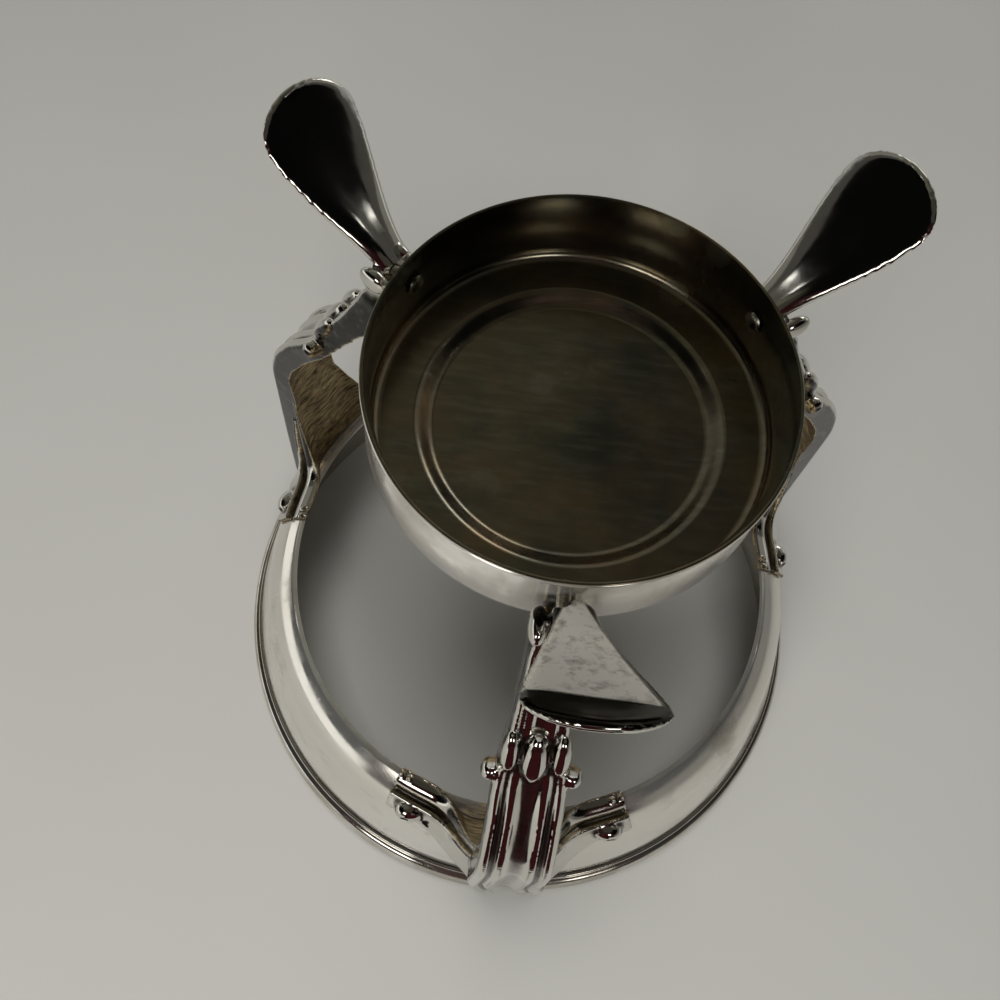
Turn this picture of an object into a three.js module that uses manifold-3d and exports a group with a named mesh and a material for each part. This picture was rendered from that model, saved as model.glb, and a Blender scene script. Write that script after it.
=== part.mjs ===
// Silver plated carafe stand: a spun collar with a reeded wire, three cast legs and a riveted cup.
// Millimetres, +Z up, origin on the table under the centre of the collar.
// The legs stand at equal angles round +Z, and each is modelled once in the plane through +X:
// x is the distance from the axis, y runs sideways along the collar and z is the height.

import * as THREE from 'three';
import { mergeVertices } from 'three/addons/utils/BufferGeometryUtils.js';
import Module from 'manifold-3d';

// Clearance
const SEAT_GAP = 0.3;

// Collar, the spun ring at the bottom
const COLLAR_HEIGHT = 42.3;
const COLLAR_MOUTH_RADIUS = 58.7;
const COLLAR_SHOULDER_RADIUS = 66.4;
const COLLAR_SHOULDER_HEIGHT = 34.0;
const COLLAR_FOOT_RADIUS = 73.4;
const COLLAR_FOOT_HEIGHT = 11.2;
const COLLAR_WALL = 1.2;

// Reeded wire, soldered round the foot of the collar
const WIRE_WIDTH = 3.6;
const WIRE_RADIUS = COLLAR_FOOT_RADIUS + SEAT_GAP + WIRE_WIDTH;
const WIRE_REED = 2.1;
const WIRE_GROOVE = 0.7;
const WIRE_HEIGHT = 9.6;
const WIRE_FILLET = 0.9;

// Cup, spun from one sheet
const CUP_RIM_HEIGHT = 135.5;
const CUP_RIM_RADIUS = 32.6;
const CUP_BULGE = 0.9;
const CUP_BASE_RADIUS = CUP_RIM_RADIUS + CUP_BULGE;
const CUP_DEPTH = 16.2;
const CUP_WALL = 0.9;
const CUP_RIM_BEAD = 0.35;
const CUP_WELL_RADIUS = 24.2;
const CUP_WELL_DROP = 1.9;
const CUP_CORNER = 2.0;

// Legs
const LEG_COUNT = 3;
const LEG_FIRST_ANGLE = -90;
const TOE_COVER = 1.0;
const TOE_RADIUS = WIRE_RADIUS - WIRE_GROOVE + SEAT_GAP + TOE_COVER;
const TOE_HEIGHT = 6.0;
const KNEE_RADIUS = 72.2;
const KNEE_HEIGHT = 71.0;
const CUFF_RADIUS = 56.4;
const CUFF_HEIGHT = 97.5;
const ANKLE_COVER = 7.0;
const ANKLE_DROP = 10.5;
const ANKLE_RADIUS = CUP_RIM_RADIUS + ANKLE_COVER;
const ANKLE_HEIGHT = CUP_RIM_HEIGHT - ANKLE_DROP;
const LEG_HALF_WIDTH = 7.4;
const LEG_DEPTH = 6.0;
const ANKLE_DEPTH = 10.0;
const FLUTE_DEPTH = 1.0;
const FLANK_ROUND = 1.3;
const SCALLOP_DROP = 2.2;
const HOLLOW_DEPTH = 1.6;

// Cuff ornaments
const CUFF_KNOB_RADIUS = 1.7;
const CUFF_KNOB_SPREAD = 6.8;
const CUFF_LOBE_RADIUS = 2.1;
const CUFF_LOBE_LENGTH = 7.0;
const CUFF_LOBE_SPREAD = 4.1;

// Apron that spreads over the collar's shoulder, with a volute at each end
const WING_REACH = 25.5;
const WING_WIDTH = 6.3;
const WING_RISE = 0.9;
const WING_OVERHANG = 1.0;
const APRON_RISE = 6.0;
const SKIRT_THICKNESS = 1.1;
const SKIRT_TOP = 1.5;
const VOLUTE_RADIUS = 3.2;
const VOLUTE_ANGLE = 20.5;
const VOLUTE_OVERHANG = 6.1;
const VOLUTE_DROP = 4.3;
const VOLUTE_EYE_RADIUS = 1.3;
const NIB_RADIUS = 0.55;

// Leaf at the top of each leg
const LEAF_ROOT_OUT = 2.0;
const LEAF_ROOT_DROP = 4.3;
const LEAF_RUN = 19.8;
const LEAF_RISE = 19.8;
const LEAF_ROOT_RADIUS = CUP_RIM_RADIUS + LEAF_ROOT_OUT;
const LEAF_ROOT_HEIGHT = CUP_RIM_HEIGHT - LEAF_ROOT_DROP;
const LEAF_HALF_WIDTH = 8.7;
const LEAF_ROOT_HALF_WIDTH = 3.1;
const LEAF_SHOULDER_SHARE = 0.8;
const LEAF_THICKNESS = 2.8;
const LEAF_EDGE_THICKNESS = 1.4;
const LEAF_DISH = 0.7;
const SCROLL_KNOB_RADIUS = 1.8;
const SCROLL_KNOB_SPREAD = 3.2;
const SCROLL_KNOB_OVERHANG = 2.8;
const SCROLL_KNOB_DROP = 1.8;

// How each leg was set by hand. In degrees: its foot shifted round the collar, its leaf swung
// sideways and its leaf bent outward. In millimetres: its leaf shifted outward and sideways.
const LEG_SETS = {
  front: { foot: 3.1, sway: 3.0, pitch: -5.5, out: 0, side: 1.6 },
  right: { foot: 0, sway: 5.0, pitch: 0, out: -0.8, side: 1.6 },
  left: { foot: 0, sway: -7.0, pitch: 0, out: 2.0, side: -1.5 },
};

// Rivets through the cup's wall
const RIVET_DROP = 5.6;
const RIVET_HEAD_RADIUS = 1.85;
const RIVET_HEAD_HEIGHT = 1.0;
const RIVET_SHANK_RADIUS = 1.0;
const RIVET_SHANK_LENGTH = 4.2;

// Facets
const RING_SEGMENTS = 72;
const CUP_SEGMENTS = 60;
const SMALL_BALL_RADIUS = 1.4;
const FACET_TOLERANCE = 0.04;

// Shares of a leg's half width at which its front is drawn
const MIDDLE_FLUTE_SHARE = 0.36;
const GROOVE_SHARE = 0.62;
const GROOVE_HALF_SHARE = 0.14;
const FLUTE_STOPS = [
  -1, -0.9, -0.76, -0.62, -0.48, -0.36, -0.2, 0, 0.2, 0.36, 0.48, 0.62, 0.76, 0.9, 1,
];

const wasm = await Module();
wasm.setup();

const rad = THREE.MathUtils.degToRad;

const SILVER = { color: 0xcfcdc6, roughness: 0.18, metalness: 1.0 };
const TARNISHED = { color: 0x6d6a58, roughness: 0.42, metalness: 1.0 };
const RIVET_SILVER = { color: 0xb9b5a6, roughness: 0.3, metalness: 1.0 };

function toManifold(geometry) {
  const bare = geometry.clone();
  for (const name of ['normal', 'uv', 'uv1']) {
    bare.deleteAttribute(name);
  }
  const merged = mergeVertices(bare, 1e-4);
  const index = merged.index ? merged.index.array : Uint32Array.from(
    { length: merged.attributes.position.count }, (_, i) => i);
  const triVerts = [];
  for (let i = 0; i < index.length; i += 3) {
    const [a, b, c] = [index[i], index[i + 1], index[i + 2]];
    if (a !== b && b !== c && c !== a) {
      triVerts.push(a, b, c);
    }
  }
  const mesh = new wasm.Mesh({
    numProp: 3,
    vertProperties: Float32Array.from(merged.attributes.position.array),
    triVerts: Uint32Array.from(triVerts),
  });
  return new wasm.Manifold(mesh);
}

function toGeometry(solid) {
  const mesh = solid.getMesh();
  const geometry = new THREE.BufferGeometry();
  const count = mesh.numProp;
  const positions = new Float32Array((mesh.vertProperties.length / count) * 3);
  for (let i = 0; i < positions.length / 3; i += 1) {
    positions.set(mesh.vertProperties.subarray(i * count, i * count + 3), i * 3);
  }
  geometry.setAttribute('position', new THREE.BufferAttribute(positions, 3));
  geometry.setIndex(new THREE.BufferAttribute(Uint32Array.from(mesh.triVerts), 1));
  geometry.computeVertexNormals();
  return geometry;
}

function namedMesh(name, geometry, finish) {
  const mesh = new THREE.Mesh(geometry, new THREE.MeshStandardMaterial(finish));
  mesh.name = name;
  return mesh;
}

// A lathe turns round its own Y, so the result is stood up onto +Z.
function revolve(points, segments) {
  const geometry = new THREE.LatheGeometry(points, segments);
  geometry.rotateX(Math.PI / 2);
  return geometry;
}

// Skins a list of closed loops of equal length and caps both ends, as one closed solid.
function loft(loops) {
  const size = loops[0].length;
  const positions = loops.flat().flatMap((p) => [p.x, p.y, p.z]);
  const index = [];
  for (let k = 0; k + 1 < loops.length; k += 1) {
    for (let i = 0; i < size; i += 1) {
      const a = k * size + i;
      const b = k * size + (i + 1) % size;
      index.push(a, b, b + size, a, b + size, a + size);
    }
  }
  const caps = [[0, true], [(loops.length - 1) * size, false]];
  for (const [start, flip] of caps) {
    const centre = new THREE.Vector3();
    for (let i = 0; i < size; i += 1) {
      centre.add(loops[start / size][i]);
    }
    centre.divideScalar(size);
    const hub = positions.length / 3;
    positions.push(centre.x, centre.y, centre.z);
    for (let i = 0; i < size; i += 1) {
      const a = start + i;
      const b = start + (i + 1) % size;
      index.push(hub, flip ? b : a, flip ? a : b);
    }
  }
  const geometry = new THREE.BufferGeometry();
  geometry.setAttribute('position', new THREE.Float32BufferAttribute(positions, 3));
  geometry.setIndex(index);
  return geometry;
}

// Makes a solid of a loft whichever way round its loops run.
function loftSolid(loops) {
  const solid = toManifold(loft(loops));
  return solid.volume() > 0 ? solid : toManifold(loft(loops.map((loop) => [...loop].reverse())));
}

function ball(radius, stretch, place, tilt = 0) {
  const small = radius < SMALL_BALL_RADIUS;
  const geometry = new THREE.SphereGeometry(radius, small ? 6 : 10, small ? 4 : 5);
  geometry.scale(...stretch);
  geometry.rotateY(tilt);
  geometry.translate(...place);
  return toManifold(geometry);
}

// The collar's outer profile as a curve: a straight flare that rolls in over the shoulder.
function collarProfile(offset, wallPoints, rollPoints) {
  const foot = new THREE.Vector2(COLLAR_FOOT_RADIUS, COLLAR_FOOT_HEIGHT);
  const shoulder = new THREE.Vector2(COLLAR_SHOULDER_RADIUS, COLLAR_SHOULDER_HEIGHT);
  const mouth = new THREE.Vector2(COLLAR_MOUTH_RADIUS, COLLAR_HEIGHT);
  const flare = shoulder.clone().sub(foot).normalize();
  const lead = mouth.distanceTo(shoulder) * 0.45;
  const apex = shoulder.clone().addScaledVector(flare, lead);
  const wall = new THREE.LineCurve(foot, shoulder);
  const roll = new THREE.QuadraticBezierCurve(shoulder, apex, mouth);
  const points = [];
  for (const [curve, steps] of [[wall, wallPoints], [roll, rollPoints]]) {
    for (let i = points.length ? 1 : 0; i <= steps; i += 1) {
      const point = curve.getPoint(i / steps);
      const tangent = curve.getTangent(i / steps);
      points.push(new THREE.Vector2(point.x + tangent.y * offset, point.y - tangent.x * offset));
    }
  }
  return points;
}

function collar() {
  const outer = collarProfile(0, 1, 5);
  const inner = collarProfile(-COLLAR_WALL, 1, 4).reverse();
  const foot = [
    new THREE.Vector2(COLLAR_FOOT_RADIUS - COLLAR_WALL, 0),
    new THREE.Vector2(COLLAR_FOOT_RADIUS, 0),
  ];
  const points = [...foot, ...outer, ...inner];
  return revolve([...points, points[0]], RING_SEGMENTS);
}

// Two round reeds and a fillet, one above the other, against the collar's foot.
function reededWire() {
  const back = COLLAR_FOOT_RADIUS + SEAT_GAP;
  const points = [new THREE.Vector2(back, 0)];
  const reedSteps = 4;
  for (let reed = 0; reed < 2; reed += 1) {
    const centre = WIRE_REED * (1 + 2 * reed) * 0.94;
    const reach = WIRE_RADIUS - WIRE_GROOVE * reed;
    for (let i = 0; i <= reedSteps; i += 1) {
      const turn = -Math.PI * 0.42 + (Math.PI * 0.84 * i) / reedSteps;
      points.push(new THREE.Vector2(
        reach - WIRE_REED + WIRE_REED * Math.cos(turn),
        centre + WIRE_REED * 0.94 * Math.sin(turn)));
    }
  }
  points.push(new THREE.Vector2(back + WIRE_FILLET, WIRE_HEIGHT));
  points.push(new THREE.Vector2(back, WIRE_HEIGHT));
  return revolve([...points, points[0]], RING_SEGMENTS);
}

function cup() {
  const base = CUP_RIM_HEIGHT - CUP_DEPTH;
  const well = base - CUP_WELL_DROP;
  const outer = [
    new THREE.Vector2(0, well),
    new THREE.Vector2(CUP_WELL_RADIUS, well),
    new THREE.Vector2(CUP_WELL_RADIUS + 1.4, well + 0.7),
    new THREE.Vector2(CUP_WELL_RADIUS + 2.6, base),
    new THREE.Vector2(CUP_BASE_RADIUS - CUP_CORNER, base),
    new THREE.Vector2(CUP_BASE_RADIUS - 0.3 * CUP_CORNER, base + 0.3 * CUP_CORNER),
    new THREE.Vector2(CUP_BASE_RADIUS, base + CUP_CORNER),
    new THREE.Vector2(CUP_RIM_RADIUS, CUP_RIM_HEIGHT - 4 * CUP_RIM_BEAD),
    new THREE.Vector2(CUP_RIM_RADIUS + CUP_RIM_BEAD, CUP_RIM_HEIGHT - 3 * CUP_RIM_BEAD),
    new THREE.Vector2(CUP_RIM_RADIUS + CUP_RIM_BEAD, CUP_RIM_HEIGHT - CUP_RIM_BEAD),
    new THREE.Vector2(CUP_RIM_RADIUS, CUP_RIM_HEIGHT),
  ];
  const inner = [
    new THREE.Vector2(CUP_RIM_RADIUS - CUP_WALL, CUP_RIM_HEIGHT),
    new THREE.Vector2(CUP_BASE_RADIUS - CUP_WALL, base + CUP_WALL + CUP_CORNER),
    new THREE.Vector2(CUP_BASE_RADIUS - CUP_WALL - 0.3 * CUP_CORNER, base + CUP_WALL + 0.3 * CUP_CORNER),
    new THREE.Vector2(CUP_BASE_RADIUS - CUP_WALL - CUP_CORNER, base + CUP_WALL),
    new THREE.Vector2(CUP_WELL_RADIUS + 2.0, base + CUP_WALL),
    new THREE.Vector2(CUP_WELL_RADIUS + 0.8, well + CUP_WALL + 0.8),
    new THREE.Vector2(CUP_WELL_RADIUS - 0.5, well + CUP_WALL),
    new THREE.Vector2(0, well + CUP_WALL),
  ];
  return revolve([...outer, ...inner], CUP_SEGMENTS);
}

// Fluting across the front: a wide middle flute with a narrow groove on each side of it.
function fluteHeight(across) {
  const side = Math.abs(across);
  const middle = Math.max(0, 1 - (side / MIDDLE_FLUTE_SHARE) ** 2);
  const groove = Math.max(0, 1 - ((side - GROOVE_SHARE) / GROOVE_HALF_SHARE) ** 2);
  return -middle - 0.8 * groove;
}

function flankDrop(across) {
  return FLANK_ROUND * Math.max(0, (Math.abs(across) - 0.8) / 0.2) ** 2;
}

// The scalloped toe: every lobe between two grooves ends in its own round drop.
function scallopDrop(across) {
  const side = Math.abs(across);
  const middle = 1 - (side / GROOVE_SHARE) ** 2;
  const outer = 0.7 * (1 - ((side - 0.82) / 0.2) ** 2);
  return SCALLOP_DROP * Math.max(0, middle, outer);
}

// The depth that takes the column's back to the collar's wall, and above it to the apron.
function columnDepth(share, x, z) {
  return z > COLLAR_SHOULDER_HEIGHT ? LEG_DEPTH * (2.4 - 1.4 * share) : x - clearRadiusAt(z) + LEG_DEPTH;
}

// The column from the toe on the wire up to the knee.
function columnStation(share) {
  const x = TOE_RADIUS + (KNEE_RADIUS - TOE_RADIUS) * share ** 1.3;
  const z = TOE_HEIGHT + (KNEE_HEIGHT - TOE_HEIGHT) * share;
  return {
    x, z, half: LEG_HALF_WIDTH * (1.25 - 0.285 * share ** 0.72), depth: columnDepth(share, x, z),
    flute: FLUTE_DEPTH * (0.3 + 0.7 * Math.min(1, share / 0.3)),
  };
}

// The bend from the knee in to the cuff.
function kneeStation(share) {
  return {
    x: KNEE_RADIUS + (CUFF_RADIUS - KNEE_RADIUS) * (0.25 * share + 0.75 * share ** 2),
    z: KNEE_HEIGHT + (CUFF_HEIGHT - KNEE_HEIGHT) * share,
    half: LEG_HALF_WIDTH * (0.965 - 0.105 * share), depth: LEG_DEPTH, flute: FLUTE_DEPTH,
  };
}

// The shaft from the cuff up to the ankle beside the cup.
function shaftStation(share) {
  return {
    x: CUFF_RADIUS + (ANKLE_RADIUS - CUFF_RADIUS) * share * (1.15 - 0.18 * share),
    z: CUFF_HEIGHT + (ANKLE_HEIGHT - CUFF_HEIGHT) * share,
    half: LEG_HALF_WIDTH * (0.86 - 0.34 * share ** 0.6),
    depth: 0.85 * LEG_DEPTH + (ANKLE_DEPTH - 0.85 * LEG_DEPTH) * share ** 4,
    flute: FLUTE_DEPTH * (1 - 0.7 * share ** 1.6),
  };
}

// The front line of a leg from the toe at the wire up to the leaf's root.
function legStations() {
  const root = {
    x: ANKLE_RADIUS - 0.2 * ANKLE_DEPTH, z: LEAF_ROOT_HEIGHT + SEAT_GAP,
    half: 0.46 * LEG_HALF_WIDTH, depth: 0.6 * ANKLE_DEPTH, flute: 0.1 * FLUTE_DEPTH,
  };
  return [
    ...[0, 0.08, 0.18, 0.32, 0.5, 0.66, 0.8, 0.92].map(columnStation),
    ...[0, 0.16, 0.4, 0.72].map(kneeStation),
    ...[0, 0.27, 0.6, 0.85, 1].map(shaftStation),
    root,
  ];
}

function legBody() {
  const stations = legStations();
  const line = new THREE.CatmullRomCurve3(
    stations.map((s) => new THREE.Vector3(s.x, 0, s.z)), false, 'centripetal');
  const loops = stations.map((s, k) => {
    const tangent = line.getTangent(k / (stations.length - 1));
    const out = new THREE.Vector3(tangent.z, 0, -tangent.x);
    const at = (across, lift, fall = 0) => new THREE.Vector3(
      s.x + out.x * lift, across * s.half, s.z + out.z * lift - fall);
    const front = FLUTE_STOPS.map((across) => at(across,
      s.flute * fluteHeight(across) - flankDrop(across), k === 0 ? scallopDrop(across) : 0));
    const back = [0.97, 0.5, -0.5, -0.97].map((across) => at(across,
      HOLLOW_DEPTH * (1 - across ** 2) - s.depth));
    return [...front, ...back];
  });
  return loftSolid(loops);
}

// A smooth bell: 1 in the middle of the leg and 0 beyond the given width, in shares of the reach.
function bell(share, width, power) {
  return Math.exp(-((share / width) ** power));
}

// The apron spreads from the knee down over the collar. At each share of its reach it has a lower
// edge on the collar's wall, an outer edge, a crest and an inner edge.
function apronStation(share) {
  const climb = bell(share, 0.315, 2.4);
  const spread = bell(share, 0.43, 3.2);
  const low = COLLAR_SHOULDER_HEIGHT + SKIRT_TOP;
  const brim = COLLAR_MOUTH_RADIUS - WING_OVERHANG;
  const wing = COLLAR_HEIGHT + WING_RISE;
  const reach = (inset, gain) => brim + inset + (KNEE_RADIUS - brim - gain) * spread;
  return {
    angle: WING_REACH * share,
    low: low + (TOE_HEIGHT - low) * bell(share, 0.487, 4),
    outer: [
      brim + WING_WIDTH + (KNEE_RADIUS - brim - 1.15 * WING_WIDTH) * spread,
      COLLAR_HEIGHT - 2 * SKIRT_THICKNESS + 0.6 * (KNEE_HEIGHT - COLLAR_HEIGHT) * climb,
    ],
    crest: [
      reach(0.52 * WING_WIDTH, WING_WIDTH),
      wing + (KNEE_HEIGHT + APRON_RISE - wing) * climb,
    ],
    inner: [
      reach(0, 0.57 * WING_WIDTH),
      wing + (KNEE_HEIGHT + APRON_RISE - wing) * 0.94 * climb,
    ],
  };
}

// One upright slice through the apron, walked up its outside and down its inside.
function apronSlice(station, side) {
  const { low, outer, crest, inner } = station;
  const turn = rad(station.angle) * side;
  const skin = (height, lift) => [clearRadiusAt(height) + lift, height];
  const middle = (low + COLLAR_SHOULDER_HEIGHT) / 2;
  const hidden = COLLAR_HEIGHT - LEG_DEPTH;
  const hem = low + 1.4 * SKIRT_THICKNESS;
  const points = [
    skin(low, SKIRT_THICKNESS * 0.4),
    skin(hem, SKIRT_THICKNESS),
    skin(Math.max(hem + 0.3 * SKIRT_THICKNESS, middle), SKIRT_THICKNESS),
    skin(Math.max(hem + 0.8 * SKIRT_THICKNESS, COLLAR_SHOULDER_HEIGHT + SKIRT_THICKNESS),
      SKIRT_THICKNESS * 1.2),
    outer,
    crest,
    inner,
    [inner[0] - (inner[1] - hidden) / 20, (inner[1] + hidden) / 2 + HOLLOW_DEPTH],
    [Math.min(inner[0] - HOLLOW_DEPTH, COLLAR_MOUTH_RADIUS + HOLLOW_DEPTH), hidden],
    [clearRadiusAt(low) - LEG_DEPTH, low],
  ];
  return points.map(([radius, z]) => new THREE.Vector3(
    radius * Math.cos(turn), radius * Math.sin(turn), z));
}

function apron() {
  const half = [0, 0.23, 0.34, 0.45, 0.58, 0.73, 0.87, 1].map(apronStation);
  const left = [...half].reverse().map((station) => apronSlice(station, -1));
  const right = half.slice(1).map((station) => apronSlice(station, 1));
  return loftSolid([...left, ...right]);
}

// The volute that closes a wing, with two small nibs on its straight end.
function volute(side) {
  const angle = rad(VOLUTE_ANGLE);
  const radius = COLLAR_MOUTH_RADIUS + VOLUTE_OVERHANG;
  const height = COLLAR_HEIGHT - VOLUTE_DROP;
  const place = (r, turn, z) => [r * Math.cos(turn), side * r * Math.sin(turn), z];
  const curl = ball(VOLUTE_RADIUS, [0.8, 1.1, 0.9], place(radius, angle, height));
  const eye = ball(VOLUTE_EYE_RADIUS, [1, 1, 1],
    place(radius + 0.8 * VOLUTE_RADIUS, angle, height + 0.3 * VOLUTE_EYE_RADIUS));
  let solid = curl.subtract(eye);
  for (const share of [0.9, 0.98]) {
    solid = solid.add(ball(NIB_RADIUS, [1, 1, 1.6],
      place(COLLAR_MOUTH_RADIUS + NIB_RADIUS, rad(WING_REACH) * share, COLLAR_HEIGHT + 2.5 * NIB_RADIUS)));
  }
  return solid;
}

// The cuff: three round-ended lobes over the flutes and a knob on each flank.
function cuff() {
  const lean = Math.atan2(CUFF_RADIUS - KNEE_RADIUS, CUFF_HEIGHT - KNEE_HEIGHT);
  const length = CUFF_LOBE_LENGTH / 2 / CUFF_LOBE_RADIUS;
  const front = shaftStation(0.12);
  let solid = ball(CUFF_LOBE_RADIUS, [0.8, 1, length], [front.x, 0, front.z], lean);
  for (const side of [-1, 1]) {
    solid = solid.add(ball(CUFF_LOBE_RADIUS, [0.8, 0.75, 0.85 * length],
      [front.x - 0.4 * CUFF_LOBE_RADIUS, side * CUFF_LOBE_SPREAD, front.z + 0.4 * CUFF_LOBE_RADIUS], lean));
    solid = solid.add(ball(CUFF_KNOB_RADIUS, [1.1, 1, 1.2],
      [CUFF_RADIUS - 1.3 * CUFF_KNOB_RADIUS, side * CUFF_KNOB_SPREAD, CUFF_HEIGHT], lean));
  }
  return solid;
}

// Half width of the leaf at a share of its length: a narrow neck, straight sides and a round toe.
function leafHalfWidth(share) {
  const blade = Math.min(1, share / LEAF_SHOULDER_SHARE);
  const swell = 0.35 * blade + 0.65 * blade ** 2 * (3 - 2 * blade);
  const toe = Math.max(0, (share - LEAF_SHOULDER_SHARE) / (1 - LEAF_SHOULDER_SHARE));
  return (LEAF_ROOT_HALF_WIDTH + (LEAF_HALF_WIDTH - LEAF_ROOT_HALF_WIDTH) * swell)
    * Math.sqrt(1 - toe ** 2);
}

// The blade of a leaf, lofted along its curved face from the root to the toe.
function leafBlade() {
  const root = new THREE.Vector3(LEAF_ROOT_RADIUS, 0, LEAF_ROOT_HEIGHT);
  const face = new THREE.QuadraticBezierCurve3(
    root,
    root.clone().add(new THREE.Vector3(0.56 * LEAF_RUN, 0, 0.36 * LEAF_RISE)),
    root.clone().add(new THREE.Vector3(LEAF_RUN, 0, LEAF_RISE)));
  const stops = [0, 0.18, 0.36, 0.54, 0.68, 0.8, 0.87, 0.93, 0.97, 0.993];
  const loops = stops.map((share) => {
    const point = face.getPoint(share);
    const tangent = face.getTangent(share);
    const under = new THREE.Vector3(tangent.z, 0, -tangent.x);
    const half = leafHalfWidth(share);
    const thick = LEAF_THICKNESS + (LEAF_EDGE_THICKNESS - LEAF_THICKNESS) * share;
    const dish = LEAF_DISH * (half / LEAF_HALF_WIDTH);
    const section = [
      [-1, thick * 0.4], [-0.93, thick * 0.04], [-0.6, dish * 0.6], [0, dish], [0.6, dish * 0.6],
      [0.93, thick * 0.04], [1, thick * 0.4], [0.9, thick * 0.85], [0.5, thick * 1.05],
      [0, thick * 1.2], [-0.5, thick * 1.05], [-0.9, thick * 0.85],
    ];
    return section.map(([across, below]) => point.clone()
      .addScaledVector(under, below)
      .add(new THREE.Vector3(0, across * half, 0)));
  });
  return loftSolid(loops);
}

// A leaf swung and bent about its root, with a knob on each side of the root.
function leaf(set) {
  const slope = Math.atan2(LEAF_RISE, LEAF_RUN);
  const normal = new THREE.Vector3(-Math.sin(slope), 0, Math.cos(slope));
  const bend = new THREE.Matrix4().makeRotationAxis(normal, rad(set.sway))
    .multiply(new THREE.Matrix4().makeRotationY(rad(set.pitch)));
  const root = new THREE.Vector3(LEAF_ROOT_RADIUS, 0, LEAF_ROOT_HEIGHT);
  const shift = root.clone().sub(root.clone().applyMatrix4(bend));
  bend.setPosition(shift.add(new THREE.Vector3(set.out, set.side, 0)));
  let solid = leafBlade().transform(bend.elements);
  for (const side of [-1, 1]) {
    solid = solid.add(ball(SCROLL_KNOB_RADIUS, [1.2, 1, 1.3], [
      LEAF_ROOT_RADIUS + SCROLL_KNOB_OVERHANG, side * SCROLL_KNOB_SPREAD,
      LEAF_ROOT_HEIGHT - SCROLL_KNOB_DROP,
    ]));
  }
  return solid;
}

// The outside of the collar and its wire, grown by the seat gap, as a profile from the floor up.
function clearProfile() {
  const wireTop = WIRE_HEIGHT + SEAT_GAP;
  return [
    new THREE.Vector2(WIRE_RADIUS + SEAT_GAP, -1),
    new THREE.Vector2(WIRE_RADIUS + SEAT_GAP, WIRE_REED),
    new THREE.Vector2(WIRE_RADIUS + SEAT_GAP - WIRE_GROOVE, WIRE_REED * 3),
    new THREE.Vector2(COLLAR_FOOT_RADIUS + 2 * SEAT_GAP + WIRE_FILLET, wireTop),
    ...collarProfile(SEAT_GAP, 1, 5).slice(1),
  ];
}

function clearRadiusAt(height) {
  const points = clearProfile();
  for (let i = 0; i + 1 < points.length; i += 1) {
    const [low, high] = [points[i], points[i + 1]];
    if (height <= high.y) {
      return low.x + (high.x - low.x) * ((height - low.y) / (high.y - low.y));
    }
  }
  return points.at(-1).x;
}

// Everything that a leg has to clear: the collar with its wire, the cup and the rivet's shank.
function legClearance() {
  const top = COLLAR_HEIGHT + SEAT_GAP;
  const collarSpace = revolve([
    new THREE.Vector2(0, -1), ...clearProfile(), new THREE.Vector2(0, top),
  ], RING_SEGMENTS);
  const outside = CUP_BASE_RADIUS + SEAT_GAP;
  const neck = CUP_RIM_RADIUS + CUP_RIM_BEAD + SEAT_GAP;
  const cupBase = CUP_RIM_HEIGHT - CUP_DEPTH;
  const leafTop = CUP_RIM_HEIGHT + 2 * LEAF_RISE;
  const cupSpace = revolve([
    new THREE.Vector2(0, cupBase - SEAT_GAP),
    new THREE.Vector2(outside, cupBase - SEAT_GAP),
    new THREE.Vector2(outside, cupBase + CUP_CORNER),
    new THREE.Vector2(neck, CUP_RIM_HEIGHT - 4 * CUP_RIM_BEAD),
    new THREE.Vector2(neck, leafTop),
    new THREE.Vector2(0, leafTop),
  ], CUP_SEGMENTS);
  return toManifold(collarSpace).add(toManifold(cupSpace)).add(rivetHole());
}

function rivetHole() {
  const bore = RIVET_SHANK_RADIUS + SEAT_GAP;
  const hole = new THREE.CylinderGeometry(bore, bore, 2 * RIVET_SHANK_LENGTH, 12);
  hole.rotateZ(Math.PI / 2);
  hole.translate(CUP_RIM_RADIUS - CUP_WALL + SEAT_GAP, 0, CUP_RIM_HEIGHT - RIVET_DROP);
  return toManifold(hole);
}

// Shifts a leg's foot round the stand's axis, less and less up to the collar's top.
function shiftFoot(solid, degrees) {
  return solid.warp((point) => {
    const turn = rad(degrees) * Math.max(0, 1 - point[2] / COLLAR_HEIGHT);
    const [x, y] = point;
    point[0] = x * Math.cos(turn) - y * Math.sin(turn);
    point[1] = x * Math.sin(turn) + y * Math.cos(turn);
  });
}

function legSolid(set) {
  const foot = shiftFoot(legBody().add(apron()).add(volute(-1)).add(volute(1)), set.foot);
  return foot.add(cuff()).add(leaf(set)).subtract(legClearance()).simplify(FACET_TOLERANCE);
}

function rivetGeometry() {
  const inside = CUP_RIM_RADIUS - CUP_WALL;
  const points = [
    new THREE.Vector2(0, inside - RIVET_HEAD_HEIGHT),
    new THREE.Vector2(RIVET_HEAD_RADIUS * 0.6, inside - RIVET_HEAD_HEIGHT * 0.8),
    new THREE.Vector2(RIVET_HEAD_RADIUS, inside - SEAT_GAP),
    new THREE.Vector2(RIVET_SHANK_RADIUS, inside - SEAT_GAP),
    new THREE.Vector2(RIVET_SHANK_RADIUS, inside + RIVET_SHANK_LENGTH),
    new THREE.Vector2(0, inside + RIVET_SHANK_LENGTH),
  ];
  const geometry = new THREE.LatheGeometry(points, 14);
  geometry.rotateZ(-Math.PI / 2);
  geometry.translate(0, 0, CUP_RIM_HEIGHT - RIVET_DROP);
  return geometry;
}

function legAngles() {
  return Array.from({ length: LEG_COUNT }, (_, i) => rad(LEG_FIRST_ANGLE + (360 / LEG_COUNT) * i));
}

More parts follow.
